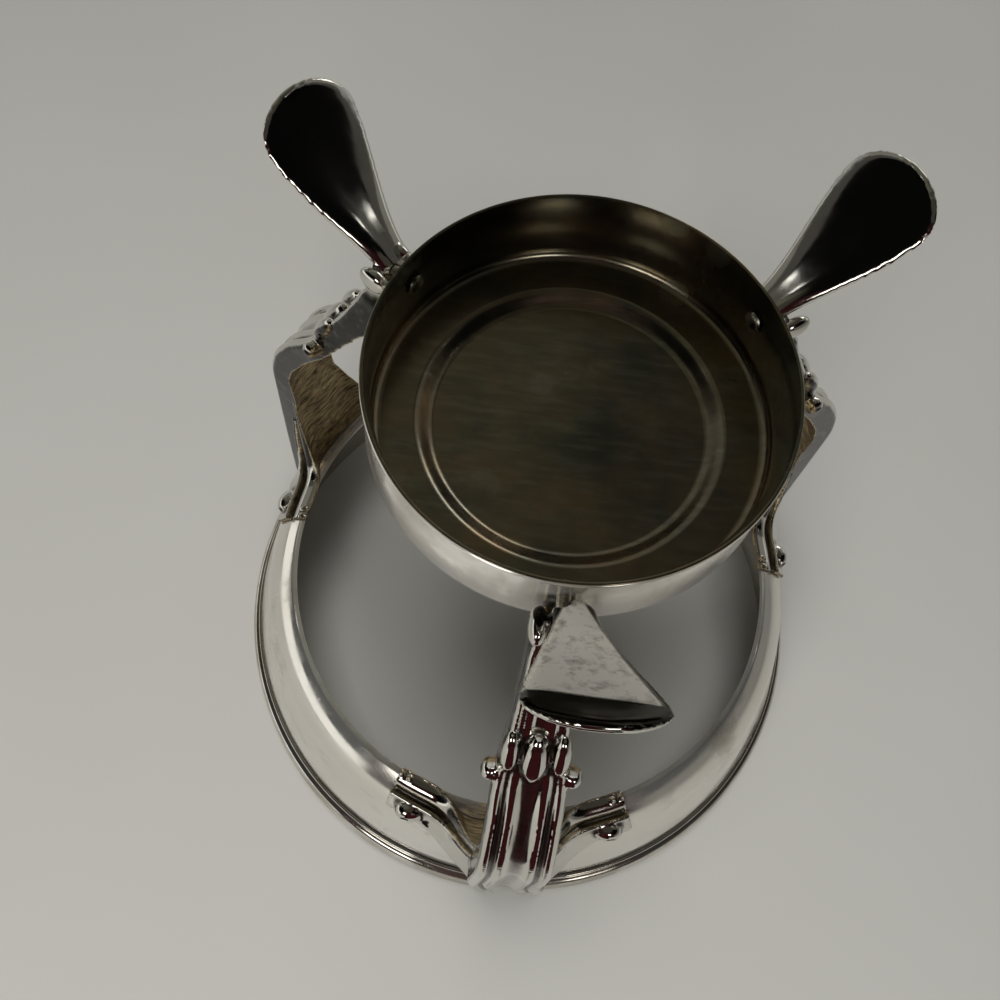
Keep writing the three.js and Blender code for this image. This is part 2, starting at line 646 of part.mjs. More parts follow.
// The cup with a clearance hole through its wall for every rivet.
function drilledCup() {
  let solid = toManifold(cup());
  for (const angle of legAngles()) {
    solid = solid.subtract(rivetHole().rotate([0, 0, THREE.MathUtils.radToDeg(angle)]));
  }
  return toGeometry(solid);
}

const stand = new THREE.Group();
stand.name = 'carafe_stand';

stand.add(namedMesh('collar', toGeometry(toManifold(collar())), SILVER));
stand.add(namedMesh('reeded_wire', toGeometry(toManifold(reededWire())), SILVER));
stand.add(namedMesh('burner_cup', drilledCup(), TARNISHED));

Object.entries(LEG_SETS).forEach(([name, set], i) => {
  const station = new THREE.Group();
  station.rotation.z = legAngles()[i];
  station.add(namedMesh(`leg_${name}`, toGeometry(legSolid(set)), SILVER));
  station.add(namedMesh(`rivet_${name}`, rivetGeometry(), RIVET_SILVER));
  stand.add(station);
});

export default stand;
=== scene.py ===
"""Silver plated carafe stand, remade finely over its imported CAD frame.

The stand is a spun collar with a reeded wire round its foot, three cast legs
with leaf shaped tops, and a spun cup held by a rivet through each leg. Sizes
are millimetres in the row frame: +Z up, the origin on the floor under the
middle of the collar. Meshes are written in metres. Each leg is modelled in
the plane through +X and then turned to its place.
"""
import logging
import math
from dataclasses import dataclass
from enum import Enum
from typing import Callable, Iterable, Sequence

import bmesh
import bpy
import numpy as np
from mathutils import Matrix
from mathutils.bvhtree import BVHTree


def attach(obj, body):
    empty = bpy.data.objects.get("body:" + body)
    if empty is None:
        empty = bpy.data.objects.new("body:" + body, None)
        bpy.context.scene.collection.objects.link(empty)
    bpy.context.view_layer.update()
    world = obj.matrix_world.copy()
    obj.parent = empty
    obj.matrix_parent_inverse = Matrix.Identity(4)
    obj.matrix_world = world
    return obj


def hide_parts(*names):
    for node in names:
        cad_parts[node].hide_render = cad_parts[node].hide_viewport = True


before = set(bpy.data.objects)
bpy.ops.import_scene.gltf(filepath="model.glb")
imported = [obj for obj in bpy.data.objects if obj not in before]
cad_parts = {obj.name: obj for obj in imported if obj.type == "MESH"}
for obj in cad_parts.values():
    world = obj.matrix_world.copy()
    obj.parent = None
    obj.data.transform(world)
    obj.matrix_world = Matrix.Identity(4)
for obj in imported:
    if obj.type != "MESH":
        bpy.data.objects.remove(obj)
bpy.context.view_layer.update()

LOG = logging.getLogger("carafe_stand")
MM = 0.001
BODY = "root"
ON_AXIS = 1e-6  # points nearer the axis than this become one pole, in millimetres
BELOW_FLOOR = -1.0
EVERYWHERE = (-2.0, -1.0)  # heights that all of the stand is above
SHARE, UNDER, OVER = 0, 6, 7  # the inputs of a node that mixes two colours

Object = bpy.types.Object
Material = bpy.types.Material
Tree = bpy.types.NodeTree
Node = bpy.types.Node
Socket = bpy.types.NodeSocket
Colour = tuple[float, float, float, float]
Range = tuple[float, float]
Point = Sequence[float]
Stretch = tuple[float, float, float]
Value = Socket | Node | Material | float | int | str | Sequence[float] | None
Inputs = dict[str | int, Value]


class Steps(Enum):
    """How finely round pieces are turned, in segments."""

    KNOB = 28
    RIVET = 48
    ROUND = 256


class Place(Enum):
    """Where a leg stands: its angle from +X in degrees."""

    FRONT = -90.0
    RIGHT = 30.0
    LEFT = 150.0


# Curves and shells


@dataclass
class Shell:
    """A closed mesh in millimetres: vertex rows, and the vertex numbers of each face."""

    points: np.ndarray
    faces: list[tuple[int, ...]]


def catmull(rows: np.ndarray, at: np.ndarray) -> np.ndarray:
    """Runs a smooth curve through rows of values.

    Args:
        rows: one row for each control, evenly spaced from 0 to 1.
        at: places on the curve between 0 and 1.

    Returns:
        One row of values for each place.
    """
    padded = np.vstack([2 * rows[0] - rows[1], rows, 2 * rows[-1] - rows[-2]])
    place = np.clip(at, 0, 1) * (len(rows) - 1)
    first = np.minimum(place.astype(int), len(rows) - 2)
    t = (place - first)[:, None]
    p0, p1, p2, p3 = (padded[first + k] for k in range(4))
    bend = 2 * p0 - 5 * p1 + 4 * p2 - p3
    return 0.5 * (2 * p1 + (p2 - p0) * t + bend * t**2 + (3 * p1 - p0 - 3 * p2 + p3) * t**3)


def bezier(a: Point, b: Point, c: Point, at: np.ndarray) -> np.ndarray:
    """Samples a quadratic curve from a to c, drawn toward b, at places between 0 and 1."""
    t = at[:, None]
    return (1 - t) ** 2 * np.array(a) + 2 * t * (1 - t) * np.array(b) + t**2 * np.array(c)


def arc(centre: Point, radius: float, start: float, end: float, steps: int) -> np.ndarray:
    """Samples an arc in a profile's plane, between angles in degrees from straight outward."""
    turn = np.radians(np.linspace(start, end, steps + 1))
    return np.array(centre) + radius * np.stack([np.cos(turn), np.sin(turn)], axis=1)


def directions(line: np.ndarray) -> np.ndarray:
    """Returns the unit direction of a line at each of its points."""
    step = np.gradient(line, axis=0)
    return step / np.linalg.norm(step, axis=1)[:, None]


def loft(loops: np.ndarray) -> Shell:
    """Skins closed loops and caps both ends with a fan.

    Args:
        loops: array of loops, each with the same number of points.

    Returns:
        The closed shell.
    """
    count, size, _ = loops.shape
    points = np.vstack([loops.reshape(-1, 3), loops[0].mean(0), loops[-1].mean(0)])
    faces: list[tuple[int, ...]] = []
    for k in range(count - 1):
        for i in range(size):
            a, b = k * size + i, k * size + (i + 1) % size
            faces.append((a, b, b + size, a + size))
    start, end, last = count * size, count * size + 1, (count - 1) * size
    for i in range(size):
        j = (i + 1) % size
        faces.append((start, j, i))
        faces.append((end, last + i, last + j))
    return Shell(points, faces)


def revolve(profile: np.ndarray, steps: Steps) -> Shell:
    """Turns a closed profile round +Z.

    Args:
        profile: distances from the axis and heights, walked once round.
        steps: how finely it is turned.

    Returns:
        The closed shell, with one pole vertex for each point on the axis.
    """
    count = steps.value
    turn = 2 * np.pi * np.arange(count) / count
    points: list[np.ndarray] = []
    rings: list[list[int]] = []
    total = 0
    for radius, height in profile:
        size = 1 if radius < ON_AXIS else count
        ring = np.stack([radius * np.cos(turn), radius * np.sin(turn), np.full(count, height)], 1)
        points.append(ring[:size])
        rings.append([total + i % size for i in range(count)])
        total += size
    faces: list[tuple[int, ...]] = []
    for low, high in zip(rings, rings[1:] + rings[:1]):
        for i in range(count):
            j = (i + 1) % count
            corners = tuple(dict.fromkeys([low[i], low[j], high[j], high[i]]))
            if len(corners) > 2:
                faces.append(corners)
    return Shell(np.vstack(points), faces)


def lying(shell: Shell, height: float) -> Shell:
    """Lays a turned shell along +X at a height."""
    x, y, z = shell.points.T
    return Shell(np.stack([z, y, height - x], axis=1), shell.faces)


def ball(radius: float, stretch: Point, place: Point, tilt: float = 0.0) -> Shell:
    """Makes a stretched ball.

    Args:
        radius: its radius before stretching.
        stretch: factors along x, y and z.
        place: its middle.
        tilt: turn about y in radians, made before it is placed.

    Returns:
        The closed shell.
    """
    profile = arc((0.0, 0.0), radius, -90, 90, Steps.KNOB.value // 2)
    profile[[0, -1], 0] = 0.0
    shell = revolve(profile, Steps.KNOB)
    c, s = math.cos(tilt), math.sin(tilt)
    leant = (shell.points * np.array(stretch)) @ np.array([[c, 0, -s], [0, 1, 0], [s, 0, c]])
    return Shell(leant + np.array(place), shell.faces)


def merged(shells: Iterable[Shell]) -> Shell:
    """Puts several shells, which may overlap, into one.

    Args:
        shells: the shells.

    Returns:
        One shell of them all.
    """
    points: list[np.ndarray] = []
    faces: list[tuple[int, ...]] = []
    start = 0
    for shell in shells:
        points.append(shell.points)
        faces.extend(tuple(i + start for i in face) for face in shell.faces)
        start += len(shell.points)
    return Shell(np.vstack(points), faces)


def turned(points: np.ndarray, degrees: np.ndarray | float) -> np.ndarray:
    """Turns points round +Z.

    Args:
        points: rows of x, y and z.
        degrees: one angle, or one for each point.

    Returns:
        The turned points.
    """
    c, s = np.cos(np.radians(degrees)), np.sin(np.radians(degrees))
    x, y, z = points.T
    return np.stack([x * c - y * s, x * s + y * c, z], axis=1)


def smoothstep(low: float, high: float, value: np.ndarray) -> np.ndarray:
    """Rises smoothly from 0 at low to 1 at high."""
    t = np.clip((value - low) / (high - low), 0, 1)
    return t * t * (3 - 2 * t)


# Objects


def make_object(name: str, shell: Shell) -> Object:
    """Makes a mesh object from a shell, in metres at the origin.

    Args:
        name: the object's name.
        shell: the shell in millimetres; faces of two points become edges.

    Returns:
        The linked object.
    """
    edges = [face for face in shell.faces if len(face) == 2]
    faces = [face for face in shell.faces if len(face) > 2]
    mesh = bpy.data.meshes.new(name)
    mesh.from_pydata((shell.points * MM).tolist(), edges, faces)
    mesh.validate()
    piece = bpy.data.objects.new(name, mesh)
    bpy.context.scene.collection.objects.link(piece)
    return piece


def point_outward(piece: Object) -> None:
    """Turns all faces of a closed mesh to face out.

    Args:
        piece: the mesh object.
    """
    work = bmesh.new()
    work.from_mesh(piece.data)
    bmesh.ops.recalc_face_normals(work, faces=work.faces)
    work.to_mesh(piece.data)
    work.free()


def finish_piece(piece: Object, crease: float, *materials: Material) -> None:
    """Gives a mesh its materials and shades it smooth between hard creases.

    Args:
        piece: the mesh object.
        crease: edges sharper than this angle in degrees stay hard.
        materials: its materials, in order.
    """
    piece.data.materials.clear()
    for material in materials:
        piece.data.materials.append(material)
    piece.data.shade_smooth()
    piece.data.set_sharp_from_angle(angle=math.radians(crease))
    LOG.info("%s: %d vertices", piece.name, len(piece.data.vertices))


def bake_modifiers(piece: Object) -> None:
    """Replaces a mesh by what its modifiers make of it, and removes them.

    Args:
        piece: the mesh object.
    """
    graph = bpy.context.evaluated_depsgraph_get()
    graph.update()
    result = bpy.data.meshes.new_from_object(piece.evaluated_get(graph), depsgraph=graph)
    result.name = piece.data.name
    piece.modifiers.clear()
    piece.data = result


def set_attribute(piece: Object, name: str, values: np.ndarray) -> None:
    """Writes one number for each vertex under a name, for materials to read."""
    layer = piece.data.attributes.new(name=name, type="FLOAT", domain="POINT")
    layer.data.foreach_set("value", np.ascontiguousarray(values, dtype=np.float32))


def vertices(piece: Object) -> np.ndarray:
    """Reads a mesh's vertices in millimetres.

    Args:
        piece: the mesh object.

    Returns:
        One row for each vertex.
    """
    flat = np.empty(len(piece.data.vertices) * 3)
    piece.data.vertices.foreach_get("co", flat)
    return flat.reshape(-1, 3) / MM


def vertex_normals(piece: Object) -> np.ndarray:
    """Reads a mesh's vertex normals.

    Args:
        piece: the mesh object.

    Returns:
        One row for each vertex.
    """
    flat = np.empty(len(piece.data.vertices) * 3, dtype=np.float32)
    piece.data.vertex_normals.foreach_get("vector", flat)
    return flat.reshape(-1, 3).astype(float)


def write_vertices(piece: Object, points: np.ndarray) -> None:
    """Writes a mesh's vertices from millimetres."""
    piece.data.vertices.foreach_set("co", (points * MM).ravel())
    piece.data.update()


def neighbour_mean(piece: Object) -> Callable[[np.ndarray], np.ndarray]:
    """Prepares the average over each vertex's neighbours.

    Args:
        piece: the mesh object.

    Returns:
        A function from one row for each vertex to the neighbours' mean rows.
    """
    edges = np.empty(len(piece.data.edges) * 2, dtype=np.int64)
    piece.data.edges.foreach_get("vertices", edges)
    a, b = edges.reshape(-1, 2).T
    count = len(piece.data.vertices)
    valence = np.maximum(np.bincount(a, minlength=count) + np.bincount(b, minlength=count), 1)

    def mean(rows: np.ndarray) -> np.ndarray:
        """Averages the rows of every vertex's neighbours."""
        sums = [
            np.bincount(a, weights=column[b], minlength=count)
            + np.bincount(b, weights=column[a], minlength=count)
            for column in rows.T
        ]
        return np.stack(sums, axis=1) / valence[:, None]

    return mean


def relax(piece: Object, rounds: int, heights: Range) -> None:
    """Evens out a remeshed surface without shrinking it.

    Args:
        piece: the mesh object.
        rounds: pairs of a smoothing and a swelling pass.
        heights: where it sets in and where it is at its full strength, in millimetres.
    """
    smoothing, swelling = 0.5, -0.53
    mean = neighbour_mean(piece)
    points = vertices(piece)
    part = smoothstep(*heights, points[:, 2])[:, None]
    for _ in range(rounds):
        for strength in (smoothing, swelling):
            points = points + strength * part * (mean(points) - points)
    write_vertices(piece, points)


def snap(piece: Object, target: Shell, reach: float) -> None:
    """Moves vertices onto an exact surface close by, to clear the remesh's steps.

    Args:
        piece: the mesh.
        target: the exact surface.
        reach: how far away a surface may lie; near that distance little is moved.
    """
    points = vertices(piece)
    tree = BVHTree.FromPolygons(target.points.tolist(), [list(face) for face in target.faces])
    nearest = [tree.find_nearest(point) for point in points]
    places = np.array([place for place, *_ in nearest])
    away = np.array([distance for *_, distance in nearest])
    share = smoothstep(reach, 0.5 * reach, away)[:, None]
    write_vertices(piece, points + share * (places - points))


def mark_recesses(piece: Object, rounds: int, scale: float) -> None:
    """Writes how deep each vertex lies in a hollow, for grime and tarnish.

    Args:
        piece: the mesh object.
        rounds: how far the surroundings reach, in edge steps.
        scale: depth in millimetres that counts as fully recessed.
    """
    mean = neighbour_mean(piece)
    points = vertices(piece)
    around = points
    for _ in range(rounds):
        around = mean(around)
    depth = ((around - points) * vertex_normals(piece)).sum(1)
    value = np.clip(depth / scale, -1, 1)[:, None]
    for _ in range(3):
        value = mean(value)
    set_attribute(piece, "recess", value[:, 0])


# Nodes


def linear(hex_colour: str) -> Colour:
    """Turns an sRGB hex colour into linear red, green, blue and alpha, by the standard's curve.

    Args:
        hex_colour: six hex digits.

    Returns:
        The colour for a node.
    """
    values = [int(hex_colour[i : i + 2], 16) / 255 for i in (0, 2, 4)]
    out = [v / 12.92 if v <= 0.04045 else ((v + 0.055) / 1.055) ** 2.4 for v in values]
    return out[0], out[1], out[2], 1.0


def per_mm(size: float) -> float:
    """Returns the texture scale whose largest blobs have this size in millimetres."""
    return 1 / (size * MM)


def fill(tree: Tree, node: Node, inputs: Inputs) -> None:
    """Sets or links a node's inputs.

    Args:
        tree: the node tree it is in.
        node: the node.
        inputs: for each input a value, a hex colour, a socket, a node for its first output in
            use, or None to leave it alone.
    """
    for key, value in inputs.items():
        if isinstance(value, Node):
            value = next(socket for socket in value.outputs if socket.enabled)
        if isinstance(value, Socket):
            tree.links.new(value, node.inputs[key])
        elif value is not None:
            node.inputs[key].default_value = linear(value) if isinstance(value, str) else value


def add(tree: Tree, kind: str, inputs: Inputs | None = None, **settings: object) -> Node:
    """Adds a node with its settings and links.

    Args:
        tree: the node tree it goes into.
        kind: Blender's name of the node type, for shader nodes without the prefix.
        inputs: its inputs, as fill takes them.
        settings: the node's own properties.

    Returns:
        The new node.
    """
    prefix = "" if kind.startswith(("Geometry", "NodeGroup")) else "ShaderNode"
    node = tree.nodes.new(prefix + kind)
    for name, value in settings.items():
        setattr(node, name, value)
    fill(tree, node, inputs or {})
    return node


def start_material(name: str, metallic: float) -> tuple[Material, Tree, Node, Socket]:
    """Starts a material.

    Args:
        name: the finish's name.
        metallic: 1 for metal and 0 for anything else.

    Returns:
        The material, its node tree, its shader and its object coordinates.
    """
    material = bpy.data.materials.new(name)
    material.use_nodes = True
    tree = material.node_tree
    shader = tree.nodes["Principled BSDF"]
    shader.inputs["Metallic"].default_value = metallic
    return material, tree, shader, add(tree, "TexCoord").outputs["Object"]


def start_group(name: str, inputs: dict[str, str]) -> tuple[Tree, Node]:
    """Starts a geometry node group.

    Args:
        name: the group's name.
        inputs: the socket type of each named input after the geometry.

    Returns:
        The group and its input node.
    """
    tree = bpy.data.node_groups.new(name, "GeometryNodeTree")
    for key, kind in {"Geometry": "NodeSocketGeometry", **inputs}.items():
        tree.interface.new_socket(key, in_out="INPUT", socket_type=kind)
    tree.interface.new_socket("Geometry", in_out="OUTPUT", socket_type="NodeSocketGeometry")
    return tree, add(tree, "NodeGroupInput")


def end_group(tree: Tree, result: Node, material: Material) -> None:
    """Ends a geometry node group by making its result real and painting it.

    Args:
        tree: the group.
        result: the node whose output is the group's result.
        material: the finish.
    """
    real = add(tree, "GeometryNodeRealizeInstances", {0: result})
    paint = add(tree, "GeometryNodeSetMaterial", {"Geometry": real, "Material": material})
    add(tree, "NodeGroupOutput", {0: paint})


def run_group(piece: Object, tree: Tree, inputs: dict[str, float | int]) -> None:
    """Runs a geometry node group on a piece and keeps the result.

    Args:
        piece: the mesh object.
        tree: the group.
        inputs: the value of each named input.
    """
    rule = piece.modifiers.new(tree.name, "NODES")
    rule.node_group = tree
    named = {
        item.name: item.identifier for item in tree.interface.items_tree if item.in_out == "INPUT"}
    for name, value in inputs.items():
        rule[named[name]] = value
    bake_modifiers(piece)
    point_outward(piece)


def swept_round(name: str, section: np.ndarray, radius: float, material: Material) -> Object:
    """Sweeps a drawn section round the stand's axis with Geometry Nodes.

    Args:
        name: the object's name.
        section: distances from the axis and heights, walked once round.
        radius: the circle that the section follows.
        material: the finish.

    Returns:
        The swept ring.
    """
    tree, source = start_group(
        f"{name}_sweep", {"Radius": "NodeSocketFloat", "Steps": "NodeSocketInt"})
    rail = add(tree, "GeometryNodeCurvePrimitiveCircle", {
        "Resolution": source.outputs["Steps"], "Radius": source.outputs["Radius"]}, mode="RADIUS")
    drawn = add(tree, "GeometryNodeMeshToCurve", {0: source.outputs["Geometry"]})
    skin = add(tree, "GeometryNodeCurveToMesh", {"Curve": rail, "Profile Curve": drawn})
    end_group(tree, skin, material)
    count = len(section)
    flat = np.stack([section[:, 0] - radius, -section[:, 1], np.zeros(count)], axis=1)
    piece = make_object(name, Shell(flat, [(i, (i + 1) % count) for i in range(count)]))
    run_group(piece, tree, {"Radius": radius * MM, "Steps": Steps.ROUND.value})
    return piece


# Finishes


@dataclass(frozen=True)
class PolishedSilver:
    """Silver plate rubbed bright, on the collar, the wire and the cup's outside.

    Soft dents bend what it mirrors, spinning left faint rings, and it carries
    hairline scratches, a finger haze and yellow brown stains near the solder.
    The scratches and the haze scatter some of the light like a dull skin.
    """

    name: str = "polished silver plate"
    dull: float = 0.08
    bright: str = "E4E2DC"
    warm: str = "DEDAD0"
    stain_and_painted_shade: str = "958D7C"
    haze_mm: float = 14.0
    patch_mm: float = 38.0
    hair_mm: float = 6.0
    hair_depth: float = 0.0015
    dent_mm: float = 22.0
    dent_depth: float = 0.10
    seam_mm: Range = (9.0, 15.0)
    mouth_mm: Range = (38.0, 45.0)

    def material(self) -> Material:
        """Builds the finish.

        Returns:
            The material.
        """
        material, tree, shader, where = start_material(self.name, 1 - self.dull)
        haze, patches, dents = (
            add(tree, "TexNoise", {
                "Vector": where, "Scale": per_mm(size), "Detail": detail, "Roughness": rough})
            for size, detail, rough in (
                (self.haze_mm, 4.0, 0.6), (self.patch_mm, 2.0, 0.5), (self.dent_mm, 1.0, 0.5))
        )
        # real hairlines are finer than a pixel, so they are drawn a little coarser
        hairs = [
            add(tree, "MapRange", {
                "Value": add(tree, "TexNoise", {
                    "Vector": add(tree, "Mapping", {"Vector": where, "Scale": stretch}),
                    "Scale": per_mm(self.hair_mm), "Detail": 5.0, "Roughness": 0.75}),
                "From Min": 0.62, "From Max": 0.70}, interpolation_type="SMOOTHSTEP")
            for stretch in ((0.6, 9.0, 4.0), (8.0, 0.7, 4.0))
        ]
        scratched = add(tree, "Math", {0: hairs[0], 1: hairs[1]}, operation="MAXIMUM")
        height = add(tree, "SeparateXYZ", {"Vector": where}).outputs["Z"]
        seam, mouth = (
            add(tree, "MapRange", {
                "Value": height, "From Min": low * MM, "From Max": high * MM,
                "To Min": start, "To Max": end}, interpolation_type="SMOOTHSTEP")
            for (low, high), start, end in ((self.seam_mm, 0.3, 0.0), (self.mouth_mm, 0.0, 0.2))
        )
        bands = add(tree, "Math", {0: seam, 1: mouth}, operation="ADD")
        spots = add(tree, "Math", {0: bands, 1: haze}, operation="ADD")
        colour: Value = self.bright
        for cloud, low, high, most, over in (
                (patches, 0.42, 0.66, 1.0, self.warm), (spots, 0.60, 0.85, 0.6, self.stain_and_painted_shade)):
            share = add(tree, "MapRange", {
                "Value": cloud, "From Min": low, "From Max": high, "To Max": most})
            colour = add(tree, "Mix", {SHARE: share, UNDER: colour, OVER: over}, data_type="RGBA")
        smooth = add(tree, "MapRange", {
            "Value": haze, "From Min": 0.35, "From Max": 0.7, "To Min": 0.06, "To Max": 0.28})
        rough = add(tree, "Math", {0: scratched, 1: 0.10, 2: smooth}, operation="MULTIPLY_ADD")
        relief = None
        for depth, cloud in ((self.dent_depth, dents), (self.hair_depth, scratched)):
            relief = add(tree, "Bump", {"Distance": depth * MM, "Height": cloud, "Normal": relief})
        fill(tree, shader, {"Base Color": colour, "Roughness": rough, "Normal": relief})
        return material


@dataclass(frozen=True)
class CastSilver:
    """Cast and plated silver, on the legs.

    Rubbed bright on the crests, dark with old polish in the hollows, matt and
    pitted where a leaf is marked so, and brown with file marks behind.
    Chalk is the dusty plate between the pits. Painted shade, near black, darkens the front leaf's
    upward rims and toe, the wings' tops and the flanks, for dark reflections and shade.
    """

    bright: str = "D3D1CA"
    warm: str = "B3AC9B"
    grime: str = "35302A"
    pit: str = "5F5B55"
    chalk: str = "C9C5BC"
    painted_shade_black: str = "1F1C18"
    back_dark: str = "3F3326"
    back_light: str = "D6BF92"
    edge_mm: float = 3.0
    haze_mm: float = 9.0
    grain_mm: float = 0.9
    pit_mm: float = 2.4
    pit_depth: float = 0.10
    wave_mm: float = 7.0
    wave_depth: float = 0.05
    file_mm: float = 4.0
    file_depth: float = 0.16

    def material(self) -> Material:
        """Builds the finish from the attributes recess, back, pitted and the one that carries
        painted shade.

        Returns:
            The material.
        """
        material, tree, shader, where = start_material("cast and plated silver", 1.0)
        recess, back, pitted, stain_and_painted_shade = (
            add(tree, "Attribute", attribute_name=name).outputs["Fac"]
            for name in ("recess", "back", "pitted", "stain_and_painted_shade")
        )
        edge, haze, grain, pits, waves = (
            add(tree, "TexNoise", {
                "Vector": where, "Scale": per_mm(size), "Detail": detail, "Roughness": rough})
            for size, detail, rough in (
                (self.edge_mm, 4.0, 0.65), (self.haze_mm, 4.0, 0.6), (self.grain_mm, 3.0, 0.65),
                (self.pit_mm, 5.0, 0.7), (self.wave_mm, 2.0, 0.5))
        )
        pitted, stain_and_painted_shade, dirt = (
            add(tree, "MapRange", {
                "Value": add(tree, "Math", {0: cloud, 1: gain, 2: mark}, operation="MULTIPLY_ADD"),
                "From Min": low, "From Max": high, "To Max": most}, interpolation_type="SMOOTHSTEP")
            for mark, cloud, gain, low, high, most in (
                (pitted, edge, 0.6, 0.6, 1.05, 1.0), (stain_and_painted_shade, edge, 0.6, 0.6, 1.05, 1.0),
                (recess, haze, 0.25, 0.18, 0.65, 0.88))
        )
        filed = add(tree, "TexNoise", {
            "Vector": add(tree, "Mapping", {
                "Vector": where, "Rotation": (0.0, 0.5, 0.6), "Scale": (1.0, 1.0, 7.0)}),
            "Scale": per_mm(self.file_mm), "Detail": 3.0, "Roughness": 0.7})
        rubbed, spotted, streaks, shine = (
            add(tree, "MapRange", {
                "Value": cloud, "From Min": low, "From Max": high, "To Min": least, "To Max": most})
            for cloud, low, high, least, most in (
                (haze, 0.5, 0.75, 0.0, 0.5), (pits, 0.5, 0.68, 0.0, 0.75),
                (filed, 0.35, 0.65, 0.0, 1.0), (haze, 0.3, 0.8, 0.07, 0.15))
        )
        holes = add(tree, "Math", {0: spotted, 1: pitted}, operation="MULTIPLY")
        brown = add(tree, "Mix", {
            SHARE: streaks, UNDER: self.back_dark, OVER: self.back_light}, data_type="RGBA")
        # the last attribute but one brings painted shade: near black over the front leaf's toe and
        # rims, the wing tops and the flanks
        colour: Value = self.bright
        for share, over in (
                (rubbed, self.warm), (dirt, self.grime), (pitted, self.chalk), (holes, self.pit),
                (stain_and_painted_shade, self.painted_shade_black), (back, brown)):
            colour = add(tree, "Mix", {SHARE: share, UNDER: colour, OVER: over}, data_type="RGBA")
        metal = add(tree, "Math", {0: pitted, 1: -0.5, 2: 1.0}, operation="MULTIPLY_ADD")
        rough = shine
        for share, gain in ((dirt, 0.25), (pitted, 0.22), (back, 0.18)):
            rough = add(tree, "Math", {0: share, 1: gain, 2: rough}, operation="MULTIPLY_ADD")
        sunk = add(tree, "Math", {0: pits, 1: pitted}, operation="MULTIPLY")
        strokes = add(tree, "Math", {0: filed, 1: grain}, operation="ADD")
        behind = add(tree, "Math", {0: strokes, 1: back}, operation="MULTIPLY")
        relief = None
        for depth, cloud in (
                (self.wave_depth, waves), (self.pit_depth, sunk), (self.file_depth, behind)):
            relief = add(tree, "Bump", {"Distance": depth * MM, "Height": cloud, "Normal": relief})
        fill(tree, shader, {
            "Base Color": colour, "Metallic": metal, "Roughness": rough, "Normal": relief})
        return material


@dataclass(frozen=True)
class TarnishedSilver:
    """Heat tarnished silver plate inside the cup.

    Olive brown clouds over the plate, fine rings from spinning, wiping marks,
    and the pale spots of dried drops.
    """

    olive: str = "70736A"
    brown: str = "9C8A70"
    worn: str = "ABAC9C"
    drop: str = "A3A596"
    cloud_mm: float = 18.0
    stroke_mm: float = 2.2
    stroke_depth: float = 0.006
    ring_mm: float = 0.45
    ring_depth: float = 0.006
    drop_mm: float = 13.0
    dent_mm: float = 24.0
    dent_depth: float = 0.12

    def material(self) -> Material:
        """Builds the finish.

        Returns:
            The material.
        """
        material, tree, shader, where = start_material("tarnished spun silver plate", 1.0)
        flat = add(tree, "VectorMath", {0: where, 1: (1.0, 1.0, 0.0)}, operation="MULTIPLY")
        radius = add(tree, "CombineXYZ", {
            "X": add(tree, "VectorMath", {0: flat}, operation="LENGTH")})
        wiped = add(tree, "Mapping", {
            "Vector": where, "Rotation": (0.0, 0.0, 0.9), "Scale": (0.3, 1.8, 1.0)})
        cloud, strokes, rings, dents = (
            add(tree, "TexNoise", {
                "Vector": at, "Scale": per_mm(size), "Detail": detail, "Roughness": rough})
            for at, size, detail, rough in (
                (where, self.cloud_mm, 4.0, 0.6), (wiped, self.stroke_mm, 4.0, 0.65),
                (radius, self.ring_mm, 3.0, 0.7), (where, self.dent_mm, 1.0, 0.5))
        )
        drops = add(tree, "TexVoronoi", {
            "Vector": where, "Scale": per_mm(self.drop_mm), "Randomness": 1.0})
        spot, few = (
            add(tree, "MapRange", {
                "Value": value, "From Min": low, "From Max": high,
                "To Min": start, "To Max": end}, interpolation_type="SMOOTHSTEP")
            for value, low, high, start, end in (
                (drops, 0.15, 0.24, 0.35, 0.0), (cloud, 0.46, 0.56, 0.0, 1.0))
        )
        spot = add(tree, "Math", {0: spot, 1: few}, operation="MULTIPLY")
        heated, rubbed, dull = (
            add(tree, "MapRange", {
                "Value": value, "From Min": low, "From Max": high, "To Min": least, "To Max": most})
            for value, low, high, least, most in (
                (cloud, 0.35, 0.68, 0.0, 1.0), (strokes, 0.45, 0.75, 0.0, 0.45),
                (cloud, 0.3, 0.75, 0.16, 0.30))
        )
        colour: Value = self.olive
        for share, over in ((heated, self.brown), (rubbed, self.worn), (spot, self.drop)):
            colour = add(tree, "Mix", {SHARE: share, UNDER: colour, OVER: over}, data_type="RGBA")
        rough = add(tree, "Math", {0: spot, 1: 0.2, 2: dull}, operation="MULTIPLY_ADD")
        relief = None
        for depth, height in (
                (self.dent_depth, dents), (self.ring_depth, rings), (self.stroke_depth, strokes)):
            relief = add(tree, "Bump", {"Distance": depth * MM, "Height": height, "Normal": relief})
        fill(tree, shader, {"Base Color": colour, "Roughness": rough, "Normal": relief})
        return material


@dataclass(frozen=True)
class RivetSilver:
    """Hammered rivet heads: dull plate with small flats from the hammer."""

    dark: str = "8E8A7C"
    light: str = "C4BFB1"
    dent_mm: float = 1.6
    dent_depth: float = 0.08

    def material(self) -> Material:
        """Builds the finish.

        Returns:
            The material.
        """
        material, tree, shader, where = start_material("hammered rivet silver", 1.0)
        dents = add(tree, "TexNoise", {
            "Vector": where, "Scale": per_mm(self.dent_mm), "Detail": 2.0})
        share, rough = (
            add(tree, "MapRange", {
                "Value": dents, "From Min": low, "From Max": 0.7, "To Min": least, "To Max": most})
            for low, least, most in ((0.4, 0.0, 1.0), (0.3, 0.2, 0.34))
        )
        colour = add(tree, "Mix", {
            SHARE: share, UNDER: self.dark, OVER: self.light}, data_type="RGBA")
        relief = add(tree, "Bump", {"Distance": self.dent_depth * MM, "Height": dents})
        fill(tree, shader, {"Base Color": colour, "Roughness": rough, "Normal": relief})
        return material


